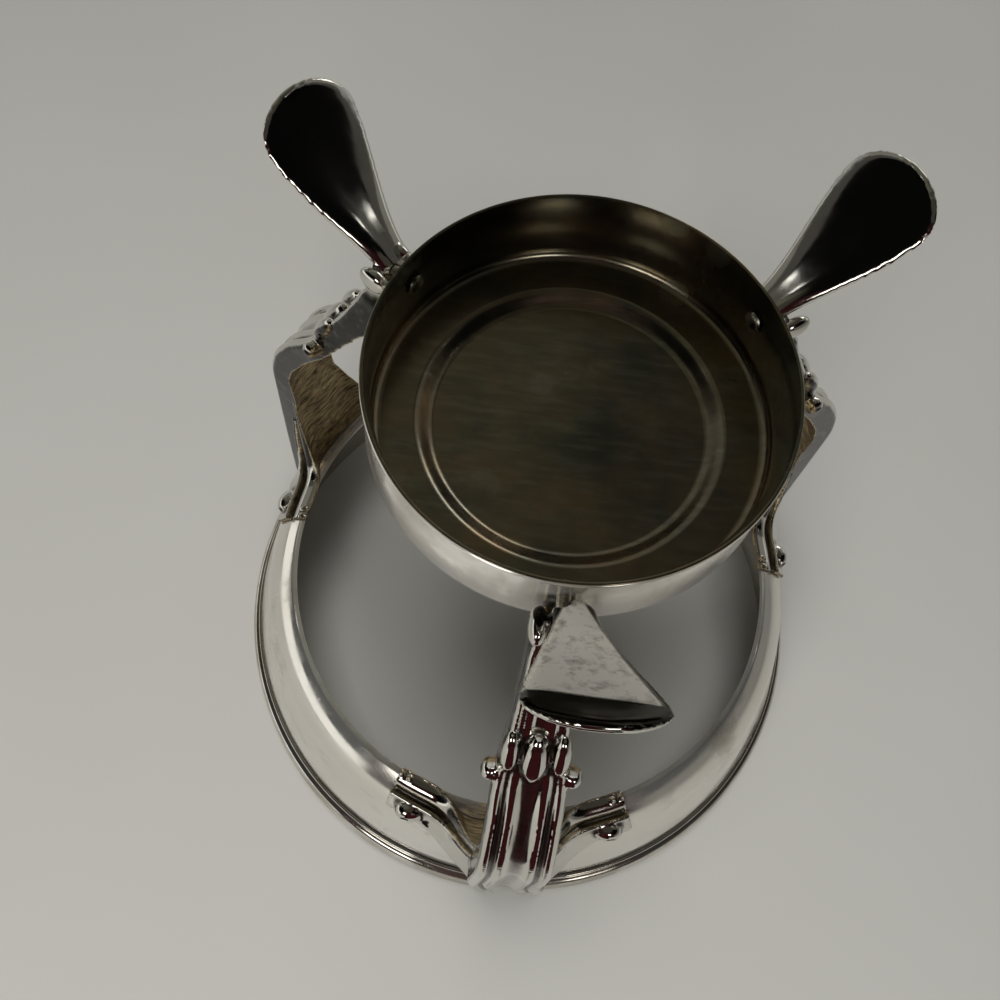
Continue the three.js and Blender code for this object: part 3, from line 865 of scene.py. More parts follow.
@dataclass(frozen=True)
class TableLaminate:
    """A plain, matt, pale grey table top with a hardly visible mottle."""

    dark: str = "A5A39D"
    light: str = "AAA8A3"
    mottle_mm: float = 90.0
    roughness: float = 0.55

    def material(self) -> Material:
        """Builds the finish.

        Returns:
            The material.
        """
        material, tree, shader, where = start_material("pale grey table laminate", 0.0)
        mottle = add(tree, "TexNoise", {
            "Vector": where, "Scale": per_mm(self.mottle_mm), "Detail": 2.0})
        colour = add(tree, "Mix", {
            SHARE: mottle, UNDER: self.dark, OVER: self.light}, data_type="RGBA")
        fill(tree, shader, {"Base Color": colour, "Roughness": self.roughness})
        return material


# Sub-assemblies


@dataclass(frozen=True)
class Collar:
    """The spun collar at the bottom of the stand.

    Roll is the part of the way from shoulder to mouth by which the flare's line
    is drawn on, and lip the part of its last two steps by which the edge swells.
    """

    height: float = 42.3
    mouth_radius: float = 58.7
    shoulder_radius: float = 66.4
    shoulder_height: float = 34.0
    foot_radius: float = 73.4
    foot_height: float = 11.2
    wall: float = 1.2
    edge: float = 0.2
    roll: float = 0.45
    lip: float = 0.25
    crease: float = 40.0

    def profile(self, offset: float) -> np.ndarray:
        """Samples the outer line from foot to mouth: a straight flare that rolls in.

        Args:
            offset: how far outside the real surface it runs.

        Returns:
            Distances from the axis and heights.
        """
        foot = np.array([self.foot_radius, self.foot_height])
        shoulder = np.array([self.shoulder_radius, self.shoulder_height])
        mouth = np.array([self.mouth_radius, self.height])
        flare = (shoulder - foot) / np.linalg.norm(shoulder - foot)
        apex = shoulder + flare * self.roll * np.linalg.norm(mouth - shoulder)
        wall = foot + (shoulder - foot) * np.linspace(0, 1, 9)[:, None]
        line = np.vstack([wall[:-1], bezier(shoulder, apex, mouth, np.linspace(0, 1, 25))])
        step = directions(line)
        return line + offset * np.stack([step[:, 1], -step[:, 0]], axis=1)

    def build(self, material: Material) -> Object:
        """Sweeps the collar's section, with rounded edges, round the axis.

        Args:
            material: its finish.

        Returns:
            The collar.
        """
        outer, inner = self.profile(0.0), self.profile(-self.wall)[::-1]
        outside, inside, edge = self.foot_radius, self.foot_radius - self.wall, self.edge
        foot = [(inside, edge), (inside + edge, 0.0), (outside - edge, 0.0), (outside, edge)]
        lip = (outer[-1] + inner[0]) / 2 + (outer[-1] - outer[-3]) * self.lip
        section = np.vstack([foot, outer[:-1], [lip], inner[1:]])
        piece = swept_round("collar_spun", section, self.foot_radius, material)
        finish_piece(piece, self.crease, material)
        return piece


@dataclass(frozen=True)
class ReededWire:
    """The wire of round reeds at the collar's foot.

    Squash is a reed's height over its width, and solder is the bead's part of
    the fillet.
    """

    back: float = 73.7
    radius: float = 77.29
    reeds: int = 2
    reed: float = 2.1
    squash: float = 0.94
    groove: float = 0.7
    height: float = 9.6
    fillet: float = 0.9
    solder: float = 0.6
    crease: float = 50.0

    def build(self, material: Material) -> Object:
        """Sweeps the reeds' section round the collar's foot.

        Args:
            material: its finish.

        Returns:
            The wire.
        """
        rows = [np.array([(self.back, 0.0)])]
        for number in range(self.reeds):
            middle = self.reed * (1 + 2 * number) * self.squash
            reach = self.radius - self.groove * number - self.reed
            round_reed = arc((0.0, 0.0), self.reed, -80, 80, 16)
            rows.append((reach, middle) + round_reed * (1.0, self.squash))
        bead = self.solder * self.fillet
        rows.append(arc((self.back + self.fillet - bead, self.height - bead), bead, -30, 110, 8))
        rows.append(np.array([(self.back, self.height)]))
        piece = swept_round("reeded_wire_drawn", np.vstack(rows), self.back, material)
        finish_piece(piece, self.crease, material)
        return piece


@dataclass(frozen=True)
class BurnerCup:
    """The spun cup with a flat well, bright outside and tarnished inside.

    The inner corner is a part of the corner and the lip a part of the wall;
    tarnished_rim counts the rows of the rim that are tarnished like the inside.
    """

    rim_height: float = 135.5
    rim_radius: float = 32.6
    base_radius: float = 33.5
    depth: float = 16.2
    wall: float = 0.9
    bead: float = 0.35
    well_radius: float = 24.2
    well_drop: float = 1.9
    well_slope: float = 1.7
    well_edge: float = 1.0
    well_inset: float = 0.6
    well_outset: float = 2.4
    corner: float = 2.0
    inner_corner: float = 0.8
    lip: float = 0.3
    tarnished_rim: int = 5
    crease: float = 50.0

    def profile(self) -> tuple[np.ndarray, int]:
        """Samples the cup's section.

        Returns:
            The closed profile, and how many of its points lie on the outside.
        """
        rim, top, wall, bead = self.rim_radius, self.rim_height, self.wall, self.bead
        base, edge, corner = top - self.depth, self.well_edge, self.corner
        well, bend, thin = base - self.well_drop, self.inner_corner * corner, self.lip * wall
        step = np.linspace(0, 1, 20)
        outer = np.vstack([
            [(0.0, well), (self.well_radius * 0.5, well)],
            arc((self.well_radius - self.well_inset, well + edge), edge, -90, -25, 6),
            arc((self.well_radius + self.well_outset, base - edge), edge, 150, 90, 6),
            arc((self.base_radius - corner, base + corner), corner, -90, 0, 12),
            [(rim, top - 5 * bead), (rim, top - 4 * bead)],
            arc((rim, top - 2.4 * bead), bead, -60, 60, 8),
            arc((rim, top - 0.7 * bead), 0.7 * bead, -40, 90, 8),
        ])
        inner = np.vstack([
            [(rim - thin, top - 0.1), (rim - thin - 0.08, top - 0.4),
             (rim - wall, top - 0.3 * self.depth)],
            arc((self.base_radius - wall - bend, base + wall + bend), bend, 0, -90, 12),
            np.stack([self.well_radius + self.well_slope * (1 - 2 * step),
                      base + wall - self.well_drop * smoothstep(0.0, 1.0, step)], axis=1),
            [(self.well_radius * 0.5, well + wall), (0.0, well + wall)],
        ])
        return np.vstack([outer, inner]), len(outer)

    def build(self, outside: Material, inside: Material) -> Object:
        """Turns the cup.

        Args:
            outside: finish of the outside and the rim.
            inside: finish of the inside.

        Returns:
            The cup.
        """
        points, outer = self.profile()
        piece = make_object("burner_cup_spun", revolve(points, Steps.ROUND))
        point_outward(piece)
        finish_piece(piece, self.crease, outside, inside)
        first_inside = sum(
            1 if radius < ON_AXIS else Steps.ROUND.value
            for radius, _ in points[: outer - self.tarnished_rim])
        for polygon in piece.data.polygons:
            polygon.material_index = int(min(polygon.vertices) >= first_inside)
        return piece


@dataclass(frozen=True)
class Seat:
    """The outside of collar and wire that the legs sit on, with the gap added."""

    collar: Collar
    wire: ReededWire
    gap: float = 0.3

    def profile(self) -> np.ndarray:
        """Returns distances from the axis and heights, from the floor up."""
        gap, wire = self.gap, self.wire
        outside = wire.radius + gap
        rows = [
            (outside, BELOW_FLOOR), (outside, wire.reed), (outside - wire.groove, wire.reed * 3),
            (self.collar.foot_radius + 2 * gap + wire.fillet, wire.height + gap),
        ]
        return np.vstack([rows, self.collar.profile(gap)[1:]])

    def radius(self, height: np.ndarray | float) -> np.ndarray:
        """Returns how far out the seat is at a height."""
        profile = self.profile()
        return np.interp(height, profile[:, 1], profile[:, 0])


@dataclass(frozen=True)
class Column:
    """The fluted column of a leg, its knee and its shaft up to the cup.

    Widths are parts of the half width and flutes parts of the flute's depth;
    brace and slim are parts of the depth, and the root's back and depth parts
    of the ankle's depth. Shares across run from 0 in the middle of the front
    to 1 at its flank, and a side lobe hangs by a part of the scallop. Lean,
    bend, lead, taper, fade and swell shape the way from one station to the
    next, and the rows say where the stations lie.
    """

    seat: Seat
    toe_radius: float = 77.84
    toe_height: float = 6.0
    lean: float = 1.3
    knee_radius: float = 72.2
    knee_height: float = 71.0
    knee_bend: float = 0.75
    cuff_radius: float = 56.4
    cuff_height: float = 97.5
    shaft_lead: float = 1.15
    shaft_bend: float = 0.18
    ankle_radius: float = 39.6
    ankle_height: float = 125.0
    root_height: float = 128.8
    root_back: float = 0.24
    half_width: float = 7.4
    toe_width: float = 1.25
    knee_width: float = 0.965
    cuff_width: float = 0.86
    ankle_width: float = 0.52
    root_width: float = 0.3
    column_taper: float = 0.72
    shaft_taper: float = 0.6
    depth: float = 6.0
    brace: float = 2.4
    slim: float = 0.85
    ankle_depth: float = 10.0
    ankle_swell: int = 4
    root_depth: float = 0.5
    flute: float = 1.0
    flank_round: float = 1.3
    scallop: float = 2.2
    hollow: float = 1.6
    middle_flute: float = 1.3
    middle_share: float = 0.36
    groove_share: float = 0.62
    groove_half: float = 0.14
    fillet_flute: float = 0.35
    fillet_share: float = 0.43
    fillet_half: float = 0.035
    toe_flute: float = 0.3
    toe_fade: float = 0.3
    shaft_flute: Range = (0.5, 0.2)
    root_flute: float = 0.1
    flank_share: float = 0.8
    side_scallop: float = 0.7
    side_share: float = 0.82
    side_half: float = 0.2
    rear_share: float = 0.97
    column_rows: tuple[float, ...] = (0, 0.08, 0.18, 0.32, 0.5, 0.66, 0.8, 0.92)
    knee_rows: tuple[float, ...] = (0, 0.16, 0.4, 0.72)
    shaft_rows: tuple[float, ...] = (0, 0.27, 0.6, 0.85, 1)
    loops: int = 170
    front_points: int = 81
    rear_points: int = 21

    def column(self, share: float) -> tuple[float, ...]:
        """Works out a station between the toe and the knee.

        Args:
            share: how far up it is, from the toe at 0 to the knee at 1.

        Returns:
            Its distance, height, half width, depth and flute depth.
        """
        x = self.toe_radius + (self.knee_radius - self.toe_radius) * share**self.lean
        z = self.toe_height + (self.knee_height - self.toe_height) * share
        above = z > self.seat.collar.shoulder_height
        braced = self.depth * (self.brace - (self.brace - 1) * share)
        depth = braced if above else x - float(self.seat.radius(z)) + self.depth
        fade = self.toe_flute + (1 - self.toe_flute) * min(1.0, share / self.toe_fade)
        width = self.toe_width + (self.knee_width - self.toe_width) * share**self.column_taper
        return x, z, self.half_width * width, depth, self.flute * fade

    def knee(self, share: float) -> tuple[float, ...]:
        """Works out a station between the knee and the cuff.

        Args:
            share: how far up it is, from the knee at 0 to the cuff at 1.

        Returns:
            Its distance, height, half width, depth and flute depth.
        """
        bent = (1 - self.knee_bend) * share + self.knee_bend * share**2
        x = self.knee_radius + (self.cuff_radius - self.knee_radius) * bent
        z = self.knee_height + (self.cuff_height - self.knee_height) * share
        width = self.knee_width + (self.cuff_width - self.knee_width) * share
        return x, z, self.half_width * width, self.depth, self.flute

    def shaft(self, share: float) -> tuple[float, ...]:
        """Works out a station between the cuff and the ankle.

        Args:
            share: how far up it is, from the cuff at 0 to the ankle at 1.

        Returns:
            Its distance, height, half width, depth and flute depth.
        """
        bent = share * (self.shaft_lead - self.shaft_bend * share)
        x = self.cuff_radius + (self.ankle_radius - self.cuff_radius) * bent
        z = self.cuff_height + (self.ankle_height - self.cuff_height) * share
        slim = self.slim * self.depth
        depth = slim + (self.ankle_depth - slim) * share**self.ankle_swell
        width = self.cuff_width + (self.ankle_width - self.cuff_width) * share**self.shaft_taper
        low, high = self.shaft_flute
        return x, z, self.half_width * width, depth, self.flute * (low + (high - low) * share)

    def stations(self) -> np.ndarray:
        """Returns the rows from the toe on the wire up to the leaf's root."""
        root = (
            self.ankle_radius - self.root_back * self.ankle_depth, self.root_height,
            self.root_width * self.half_width, self.root_depth * self.ankle_depth,
            self.root_flute * self.flute)
        return np.array([
            *map(self.column, self.column_rows), *map(self.knee, self.knee_rows),
            *map(self.shaft, self.shaft_rows), root,
        ])

    def relief(self, across: np.ndarray) -> np.ndarray:
        """Works out how far the fluting lies below its crests.

        Args:
            across: shares of the half width.

        Returns:
            Depths, none above 0.
        """
        side = np.abs(across)
        middle = np.clip(1 - (side / self.middle_share) ** 2, 0, None)
        groove = np.clip(1 - ((side - self.groove_share) / self.groove_half) ** 2, 0, None)
        line = np.clip(1 - ((side - self.fillet_share) / self.fillet_half) ** 2, 0, None)
        return -self.middle_flute * middle - groove - self.fillet_flute * line

    def scallop_drop(self, across: np.ndarray) -> np.ndarray:
        """Works out how far each lobe of the toe hangs below its notches.

        Args:
            across: shares of the half width.

        Returns:
            Lengths in millimetres.
        """
        side = np.abs(across)
        middle = 1 - (side / self.groove_share) ** 2
        outer = self.side_scallop * (1 - ((side - self.side_share) / self.side_half) ** 2)
        return self.scallop * np.clip(np.maximum(middle, outer), 0, None)

    def shell(self) -> Shell:
        """Lofts the column, knee and shaft.

        Returns:
            The closed shell.
        """
        rows = catmull(self.stations(), np.linspace(0, 1, self.loops))
        across = np.sin(np.linspace(-np.pi / 2, np.pi / 2, self.front_points))
        behind = np.linspace(self.rear_share, -self.rear_share, self.rear_points)
        share = np.concatenate([across, behind])
        beyond = (np.abs(across) - self.flank_share) / (1 - self.flank_share)
        flank = self.flank_round * np.clip(beyond, 0, None) ** 2
        loops = []
        for (x, z, half, depth, flute), (run, rise) in zip(rows, directions(rows[:, :2])):
            lift = np.concatenate([
                flute * self.relief(across) - flank, self.hollow * (1 - behind**2) - depth])
            loops.append(np.stack([x + lift * rise, share * half, z - lift * run], axis=1))
        loops[0][: len(across), 2] -= self.scallop_drop(across)
        return loft(np.array(loops))


@dataclass(frozen=True)
class Apron:
    """The apron that spreads from the knee over the collar, with a volute at each end.

    Climb, spread and hem each say by what share of the reach a slice's height,
    its standing out and its hanging down have faded, and how suddenly. Outer,
    crest and inner shares are parts of the width, shoulder_rise and inner_rise
    parts of the height, and draft is the inside's slope, down over in.
    skirt_spread, hem_rise, hem_room and toe_share are parts of the skirt's
    thickness, eye_reach of the volute, eye_lift of the eye, nib_lift of the nib.
    """

    seat: Seat
    column: Column
    reach: float = 25.5
    slices: int = 101
    climb: Range = (0.315, 2.4)
    spread: Range = (0.43, 3.2)
    hem: Range = (0.487, 4.0)
    width: float = 6.3
    outer_share: float = 1.15
    crest_share: float = 0.52
    inner_share: float = 0.57
    shoulder_rise: float = 0.6
    inner_rise: float = 0.94
    draft: float = 20.0
    rise: float = 0.9
    overhang: float = 1.0
    crest_rise: float = 6.0
    skirt: float = 1.1
    skirt_top: float = 1.5
    skirt_spread: float = 1.2
    skirt_rows: int = 14
    hem_rise: float = 1.4
    hem_room: float = 0.8
    toe_share: float = 0.4
    crest_lift: float = 0.3
    volute_radius: float = 3.2
    volute_angle: float = 20.5
    volute_overhang: float = 6.1
    volute_drop: float = 4.3
    volute_stretch: Stretch = (0.8, 1.1, 0.9)
    eye: float = 1.3
    eye_reach: float = 0.8
    eye_lift: float = 0.3
    nib: float = 0.55
    nib_shares: Range = (0.9, 0.98)
    nib_stretch: Stretch = (1.0, 1.0, 1.6)
    nib_lift: float = 2.5
    lip: tuple[Range, ...] = ((0.1, 0.5), (-0.3, 1.0), (-0.9, 0.9), (-1.4, 0.3), (-1.9, 0.2))

    def slice(self, share: float) -> np.ndarray:
        """Samples one upright slice, up its outside and down its inside.

        Args:
            share: where it is, from 0 at the leg's middle to 1 at the volute.

        Returns:
            Distances from the axis and heights.
        """
        collar, column, skirt = self.seat.collar, self.column, self.skirt
        climb, spread, hang = (
            math.exp(-((share / reach) ** power))
            for reach, power in (self.climb, self.spread, self.hem))
        rest = collar.shoulder_height + self.skirt_top
        low = rest + (column.toe_height - rest) * hang
        brim, wing = collar.mouth_radius - self.overhang, collar.height + self.rise
        top = (column.knee_height + self.crest_rise - wing) * climb
        room, width, knee = column.knee_radius - brim, self.width, column.knee_height
        outer = (
            brim + width + (room - self.outer_share * width) * spread,
            collar.height - 2 * skirt + self.shoulder_rise * (knee - collar.height) * climb)
        crest = (brim + self.crest_share * width + (room - width) * spread, wing + top)
        inner = (brim + (room - self.inner_share * width) * spread, wing + self.inner_rise * top)
        hem, rows = low + self.hem_rise * skirt, self.skirt_rows
        wall_z = np.linspace(
            hem, max(hem + self.hem_room * skirt, collar.shoulder_height + skirt), rows)
        thick = skirt * np.linspace(1, self.skirt_spread, rows)
        wall = np.stack([self.seat.radius(wall_z) + thick, wall_z], axis=1)
        foot = float(self.seat.radius(low))
        hidden = collar.height - column.depth
        back = (
            inner[0] - (inner[1] - hidden) / self.draft, (inner[1] + hidden) / 2 + column.hollow)
        deep = (min(inner[0] - column.hollow, collar.mouth_radius + column.hollow), hidden)
        *lip, dip = outer + np.array(self.lip)
        round_over = np.vstack([[outer], lip, bezier(
            dip, (crest[0], crest[1] + self.crest_lift), inner, np.linspace(0, 1, 12))])
        return np.vstack([
            [(foot + self.toe_share * skirt, low)], wall, np.linspace(wall[-1], outer, 5)[1:-1],
            round_over, bezier(inner, back, deep, np.linspace(0, 1, 8))[1:],
            [(foot - column.depth, low)],
        ])

    def volutes(self) -> list[Shell]:
        """Makes the curled ends of the apron and their nibs.

        Returns:
            One shell for each ball.
        """
        parts = []
        collar = self.seat.collar
        for side in (-1, 1):
            turn = math.radians(side * self.volute_angle)
            radius = collar.mouth_radius + self.volute_overhang
            place = (
                radius * math.cos(turn), radius * math.sin(turn), collar.height - self.volute_drop)
            parts.append(ball(self.volute_radius, self.volute_stretch, place))
            for share in self.nib_shares:
                at = math.radians(side * self.reach * share)
                far, high = collar.mouth_radius + self.nib, collar.height + self.nib_lift * self.nib
                parts.append(ball(
                    self.nib, self.nib_stretch, (far * math.cos(at), far * math.sin(at), high)))
        return parts

    def eyes(self) -> list[Shell]:
        """Makes the hollows that are sunk into the volutes.

        Returns:
            One shell for each hollow.
        """
        collar = self.seat.collar
        radius = collar.mouth_radius + self.volute_overhang + self.eye_reach * self.volute_radius
        height = collar.height - self.volute_drop + self.eye_lift * self.eye
        turn = math.radians(self.volute_angle)
        x, y = radius * math.cos(turn), radius * math.sin(turn)
        return [ball(self.eye, (1, 1, 1), (x, side * y, height)) for side in (-1, 1)]

    def shells(self) -> list[Shell]:
        """Lofts the apron from one volute to the other and adds the volutes.

        Returns:
            The apron's shell and those of the volutes.
        """
        loops = []
        for share in np.linspace(-1, 1, self.slices):
            section = self.slice(abs(share))
            flat = np.stack([section[:, 0], np.zeros(len(section)), section[:, 1]], axis=1)
            loops.append(turned(flat, share * self.reach))
        return [loft(np.array(loops)), *self.volutes()]


@dataclass(frozen=True)
class Cuff:
    """The cuff above the knee: three round ended lobes and a knob on each flank.

    lobe_share is the lobes' place along the shaft. lobe_flat, side_width,
    side_length and knob_stretch are factors on a ball, and side_shift and
    knob_sink parts of its radius.
    """

    column: Column
    lobe_radius: float = 2.2
    lobe_length: float = 12.0
    lobe_spread: float = 4.1
    lobe_share: float = 0.2
    lobe_flat: float = 0.8
    side_width: float = 0.75
    side_length: float = 0.85
    side_shift: float = 0.4
    knob_radius: float = 1.7
    knob_spread: float = 6.8
    knob_sink: float = 1.3
    knob_stretch: Stretch = (1.1, 1.0, 1.2)

    def shells(self) -> list[Shell]:
        """Makes the lobes and knobs, leaning with the knee.

        Returns:
            One shell for each lobe and knob.
        """
        column, lobe, knob = self.column, self.lobe_radius, self.knob_radius
        lean = math.atan2(
            column.cuff_radius - column.knee_radius, column.cuff_height - column.knee_height)
        length, shift = self.lobe_length / 2 / lobe, self.side_shift * lobe
        beside = (self.lobe_flat, self.side_width, self.side_length * length)
        x, z = column.shaft(self.lobe_share)[:2]
        parts = [ball(lobe, (self.lobe_flat, 1, length), (x, 0, z), lean)]
        for side in (-1, 1):
            parts.append(ball(lobe, beside, (x - shift, side * self.lobe_spread, z + shift), lean))
            place = (
                column.cuff_radius - self.knob_sink * knob, side * self.knob_spread,
                column.cuff_height)
            parts.append(ball(knob, self.knob_stretch, place, lean))
        return parts


@dataclass(frozen=True)
class LegSet:
    """How one leg was set by hand, and how its leaf has worn.

    Attributes:
        foot: degrees that its foot is shifted round the collar.
        sway: degrees that its leaf is swung sideways.
        pitch: degrees that its leaf is bent outward.
        out: millimetres that its leaf is shifted outward.
        side: millimetres that its leaf is shifted sideways.
        pitted: how matt and pitted its leaf's face is, from 0 to 1.
    """

    foot: float = 0.0
    sway: float = 0.0
    pitch: float = 0.0
    out: float = 0.0
    side: float = 0.0
    pitted: float = 0.0


@dataclass(frozen=True)
class Leaf:
    """The leaf that ends a leg above the cup's rim, with two knobs at its root.

    Flat and dish_half are parts of the half width, the rim's share and the
    belly parts of the thickness, and bow parts of the run and the rise.
    rim_slope is how much of the rim's rounding is gradual, and swell how much
    of the blade's widening follows an S. Turns are the first and the last
    angle in degrees and the number of rows.
    """

    root_radius: float = 34.6
    root_height: float = 131.2
    run: float = 19.8
    rise: float = 19.8
    half_width: float = 8.7
    root_half_width: float = 3.1
    shoulder: float = 0.8
    thickness: float = 2.8
    edge: float = 1.4
    dish: float = 0.2
    dish_half: float = 0.8
    flat: float = 0.28
    rim_share: float = 0.4
    rim_slope: float = 0.35
    belly: float = 0.8
    swell: float = 0.65
    bow: Range = (0.56, 0.36)
    blade_rows: int = 44
    toe_turns: tuple[float, float, int] = (0.0, 88.0, 30)
    lead: float = 2.2
    lead_turns: tuple[float, float, int] = (4.0, 84.0, 9)
    knob_radius: float = 1.8
    knob_stretch: Stretch = (1.6, 0.8, 1.3)
    knob_spread: float = 3.2
    knob_overhang: float = 2.8
    knob_drop: float = 1.8

    def half(self, share: float) -> float:
        """Works out the half width: a narrow neck and a round toe.

        Args:
            share: where it is along the leaf.

        Returns:
            The half width there in millimetres.
        """
        blade = min(1.0, share / self.shoulder)
        swell = (1 - self.swell) * blade + self.swell * blade**2 * (3 - 2 * blade)
        toe = max(0.0, (share - self.shoulder) / (1 - self.shoulder))
        spread = (self.half_width - self.root_half_width) * swell
        return (self.root_half_width + spread) * math.sqrt(1 - toe**2)

    def section(self, share: float) -> np.ndarray:
        """Samples the blade's section.

        Args:
            share: where it is along the leaf.

        Returns:
            Shares of the half width, and depths under the face in millimetres.
        """
        thick = self.thickness + (self.edge - self.thickness) * share
        toe = max(0.0, (share - self.shoulder) / (1 - self.shoulder))
        across = np.sin(np.linspace(-np.pi / 2, np.pi / 2, 49))
        rim = np.clip((np.abs(across) - self.flat) / (1 - self.flat), 0, 1)
        middle = np.clip(1 - (across / self.dish_half) ** 2, 0, None)
        sunk = self.dish * self.half(share) / self.half_width * middle
        slope, low = self.rim_slope, self.rim_share * thick
        face = sunk + low * (slope * rim**2 + (1 - slope) * (1 - np.sqrt(1 - rim**2)))
        under = low + self.belly * thick * np.sqrt(1 - np.abs(across) ** 3)
        depth = np.concatenate([face, under[-2:0:-1]])
        rounded = low + (depth - low) * math.sqrt(1 - toe**8)
        return np.stack([np.concatenate([across, across[-2:0:-1]]), rounded], axis=1)

    def blade(self) -> Shell:
        """Lofts the blade along its curved face.

        Returns:
            The closed shell.
        """
        tip = np.sin(np.radians(np.linspace(*self.toe_turns)))[1:]
        shoulder = self.shoulder
        shares = np.concatenate([
            np.linspace(0, shoulder, self.blade_rows), shoulder + (1 - shoulder) * tip])
        root = np.array([self.root_radius, self.root_height])
        bend = root + (self.bow[0] * self.run, self.bow[1] * self.rise)
        face = bezier(root, bend, root + (self.run, self.rise), shares)
        apex = np.cos(np.radians(np.linspace(*self.lead_turns)))
        face = np.vstack([face[0] - directions(face)[0] * self.lead * apex[:, None], face])
        width = np.concatenate([np.sqrt(1 - apex**2), np.ones(len(shares))])
        loops = []
        for (x, z), (run, rise), share, slim in zip(
                face, directions(face), np.concatenate([0 * apex, shares]), width):
            across, depth = self.section(share).T
            side = across * self.half(share) * slim
            loops.append(np.stack([x + depth * rise, side, z - depth * run], axis=1))
        return loft(np.array(loops))

    def bend(self, points: np.ndarray, leg: LegSet) -> np.ndarray:
        """Swings and bends the blade about its root.

        Args:
            points: the blade's points.
            leg: how the leg was set.

        Returns:
            The moved points.
        """
        slope = math.atan2(self.rise, self.run)
        normal = (-math.sin(slope), 0.0, math.cos(slope))
        swing = Matrix.Rotation(math.radians(leg.sway), 3, normal)
        tilt = Matrix.Rotation(math.radians(leg.pitch), 3, "Y")
        root = np.array([self.root_radius, 0.0, self.root_height])
        return (points - root) @ np.array(swing @ tilt).T + root + (leg.out, leg.side, 0.0)

    def shells(self, leg: LegSet) -> list[Shell]:
        """Makes the bent blade and the two knobs at its root.

        Args:
            leg: how the leg was set.

        Returns:
            The shells.
        """
        blade = self.blade()
        x, z = self.root_radius + self.knob_overhang, self.root_height - self.knob_drop
        knobs = [
            ball(self.knob_radius, self.knob_stretch, (x, side * self.knob_spread, z))
            for side in (-1, 1)
        ]
        return [Shell(self.bend(blade.points, leg), blade.faces), *knobs]


@dataclass(frozen=True)
class Rivets:
    """The rivets through the cup's wall, placed by Geometry Nodes at equal angles.

    Crown and back are parts of the head's radius.
    """

    cup: BurnerCup
    count: int = 3
    first_angle: float = -90.0
    drop: float = 5.6
    head_radius: float = 1.85
    head_height: float = 1.0
    head_brim: float = 0.35
    head_crown: float = 0.75
    head_back: float = 0.94
    shank_radius: float = 1.0
    shank_length: float = 4.2
    gap: float = 0.3
    crease: float = 50.0

    def one(self) -> Shell:
        """Turns one rivet along +X at the cup's wall.

        Returns:
            The closed shell.
        """
        inside = self.cup.rim_radius - self.cup.wall
        crown, under, end = inside - self.head_height, inside - self.gap, inside + self.shank_length
        dome = bezier(
            (0.0, crown), (self.head_crown * self.head_radius, crown),
            (self.head_radius, inside - self.head_brim), np.linspace(0, 1, 12))
        rest = [
            (self.head_back * self.head_radius, under), (self.shank_radius, under),
            (self.shank_radius, end), (0.0, end),
        ]
        return lying(revolve(np.vstack([dome, rest]), Steps.RIVET), self.cup.rim_height - self.drop)

    def bore(self) -> Shell:
        """Makes the blind hole that one rivet's shank needs in its leg.

        Returns:
            The closed shell.
        """
        radius, start = self.shank_radius + self.gap, self.cup.rim_radius - self.cup.wall + self.gap
        end = start + self.shank_length
        rod = np.array([(0.0, start), (radius, start), (radius, end), (0.0, end)])
        return lying(revolve(rod, Steps.RIVET), self.cup.rim_height - self.drop)

    def group(self, material: Material) -> Tree:
        """Builds the node group that copies a rivet round the axis.

        Args:
            material: the rivets' finish.

        Returns:
            The group, with inputs for the count and the first angle.
        """
        tree, source = start_group("rivets_at_equal_angles", {
            "Count": "NodeSocketInt", "First angle": "NodeSocketFloat"})
        points = add(tree, "GeometryNodePoints", {"Count": source.outputs["Count"]})
        share = add(tree, "Math", {
            0: add(tree, "GeometryNodeInputIndex"), 1: source.outputs["Count"]}, operation="DIVIDE")
        turn = add(tree, "Math", {
            0: share, 1: 2 * math.pi, 2: source.outputs["First angle"]}, operation="MULTIPLY_ADD")
        placed = add(tree, "GeometryNodeInstanceOnPoints", {
            "Points": points, "Instance": source.outputs["Geometry"],
            "Rotation": add(tree, "CombineXYZ", {"Z": turn})})
        end_group(tree, placed, material)
        return tree

    def build(self, material: Material) -> Object:
        """Makes all rivets as one mesh.

        Args:
            material: their finish.

        Returns:
            The rivets.
        """
        piece = make_object("rivets", self.one())
        run_group(piece, self.group(material), {
            "Count": self.count, "First angle": math.radians(self.first_angle)})
        finish_piece(piece, self.crease, material)
        return piece


@dataclass(frozen=True)
class Wear:
    """Where a casting is dark in its hollows, rough or pitted, and where near black shade is
    painted on it.

    Each range runs from where a mark sets in to where it is full. Heights and
    distances are millimetres; what faces some way is part of a unit normal.
    """

    recess_rounds: int = 14
    recess_depth: float = 0.35
    behind: Range = (0.15, 0.55)
    behind_heights: Range = (131.0, 127.0)
    upward: Range = (0.45, 0.65)
    upright: Range = (0.6, 0.35)
    face_start: float = 1.5
    face_half: float = 1.1
    face_spread: float = 0.44
    face_edge: Range = (0.8, -1.0)
    # toe and bevel heights bound the painted shade on the front leaf's toe and rims, for their dark
    # reflections
    toe_heights: Range = (145.4, 147.8)
    toe_slant: float = 0.08
    bevel_heights: Range = (129.0, 131.0)
    # the wings' upward tops are made matt and pitted, and get painted shade
    wing_reach: Range = (9.0, 12.0)
    wing_heights: Range = (42.0, 45.0)
    wing_upward: Range = (0.2, 0.5)
    wing_pitted: float = 0.55
    wing_painted_shade: float = 0.4
    # the flanks get painted shade, for the dim reflection of the shaded table
    flank_side: Range = (0.7, 0.9)
    flank_heights: Range = (128.0, 124.0)
    flank_painted_shade: float = 0.75


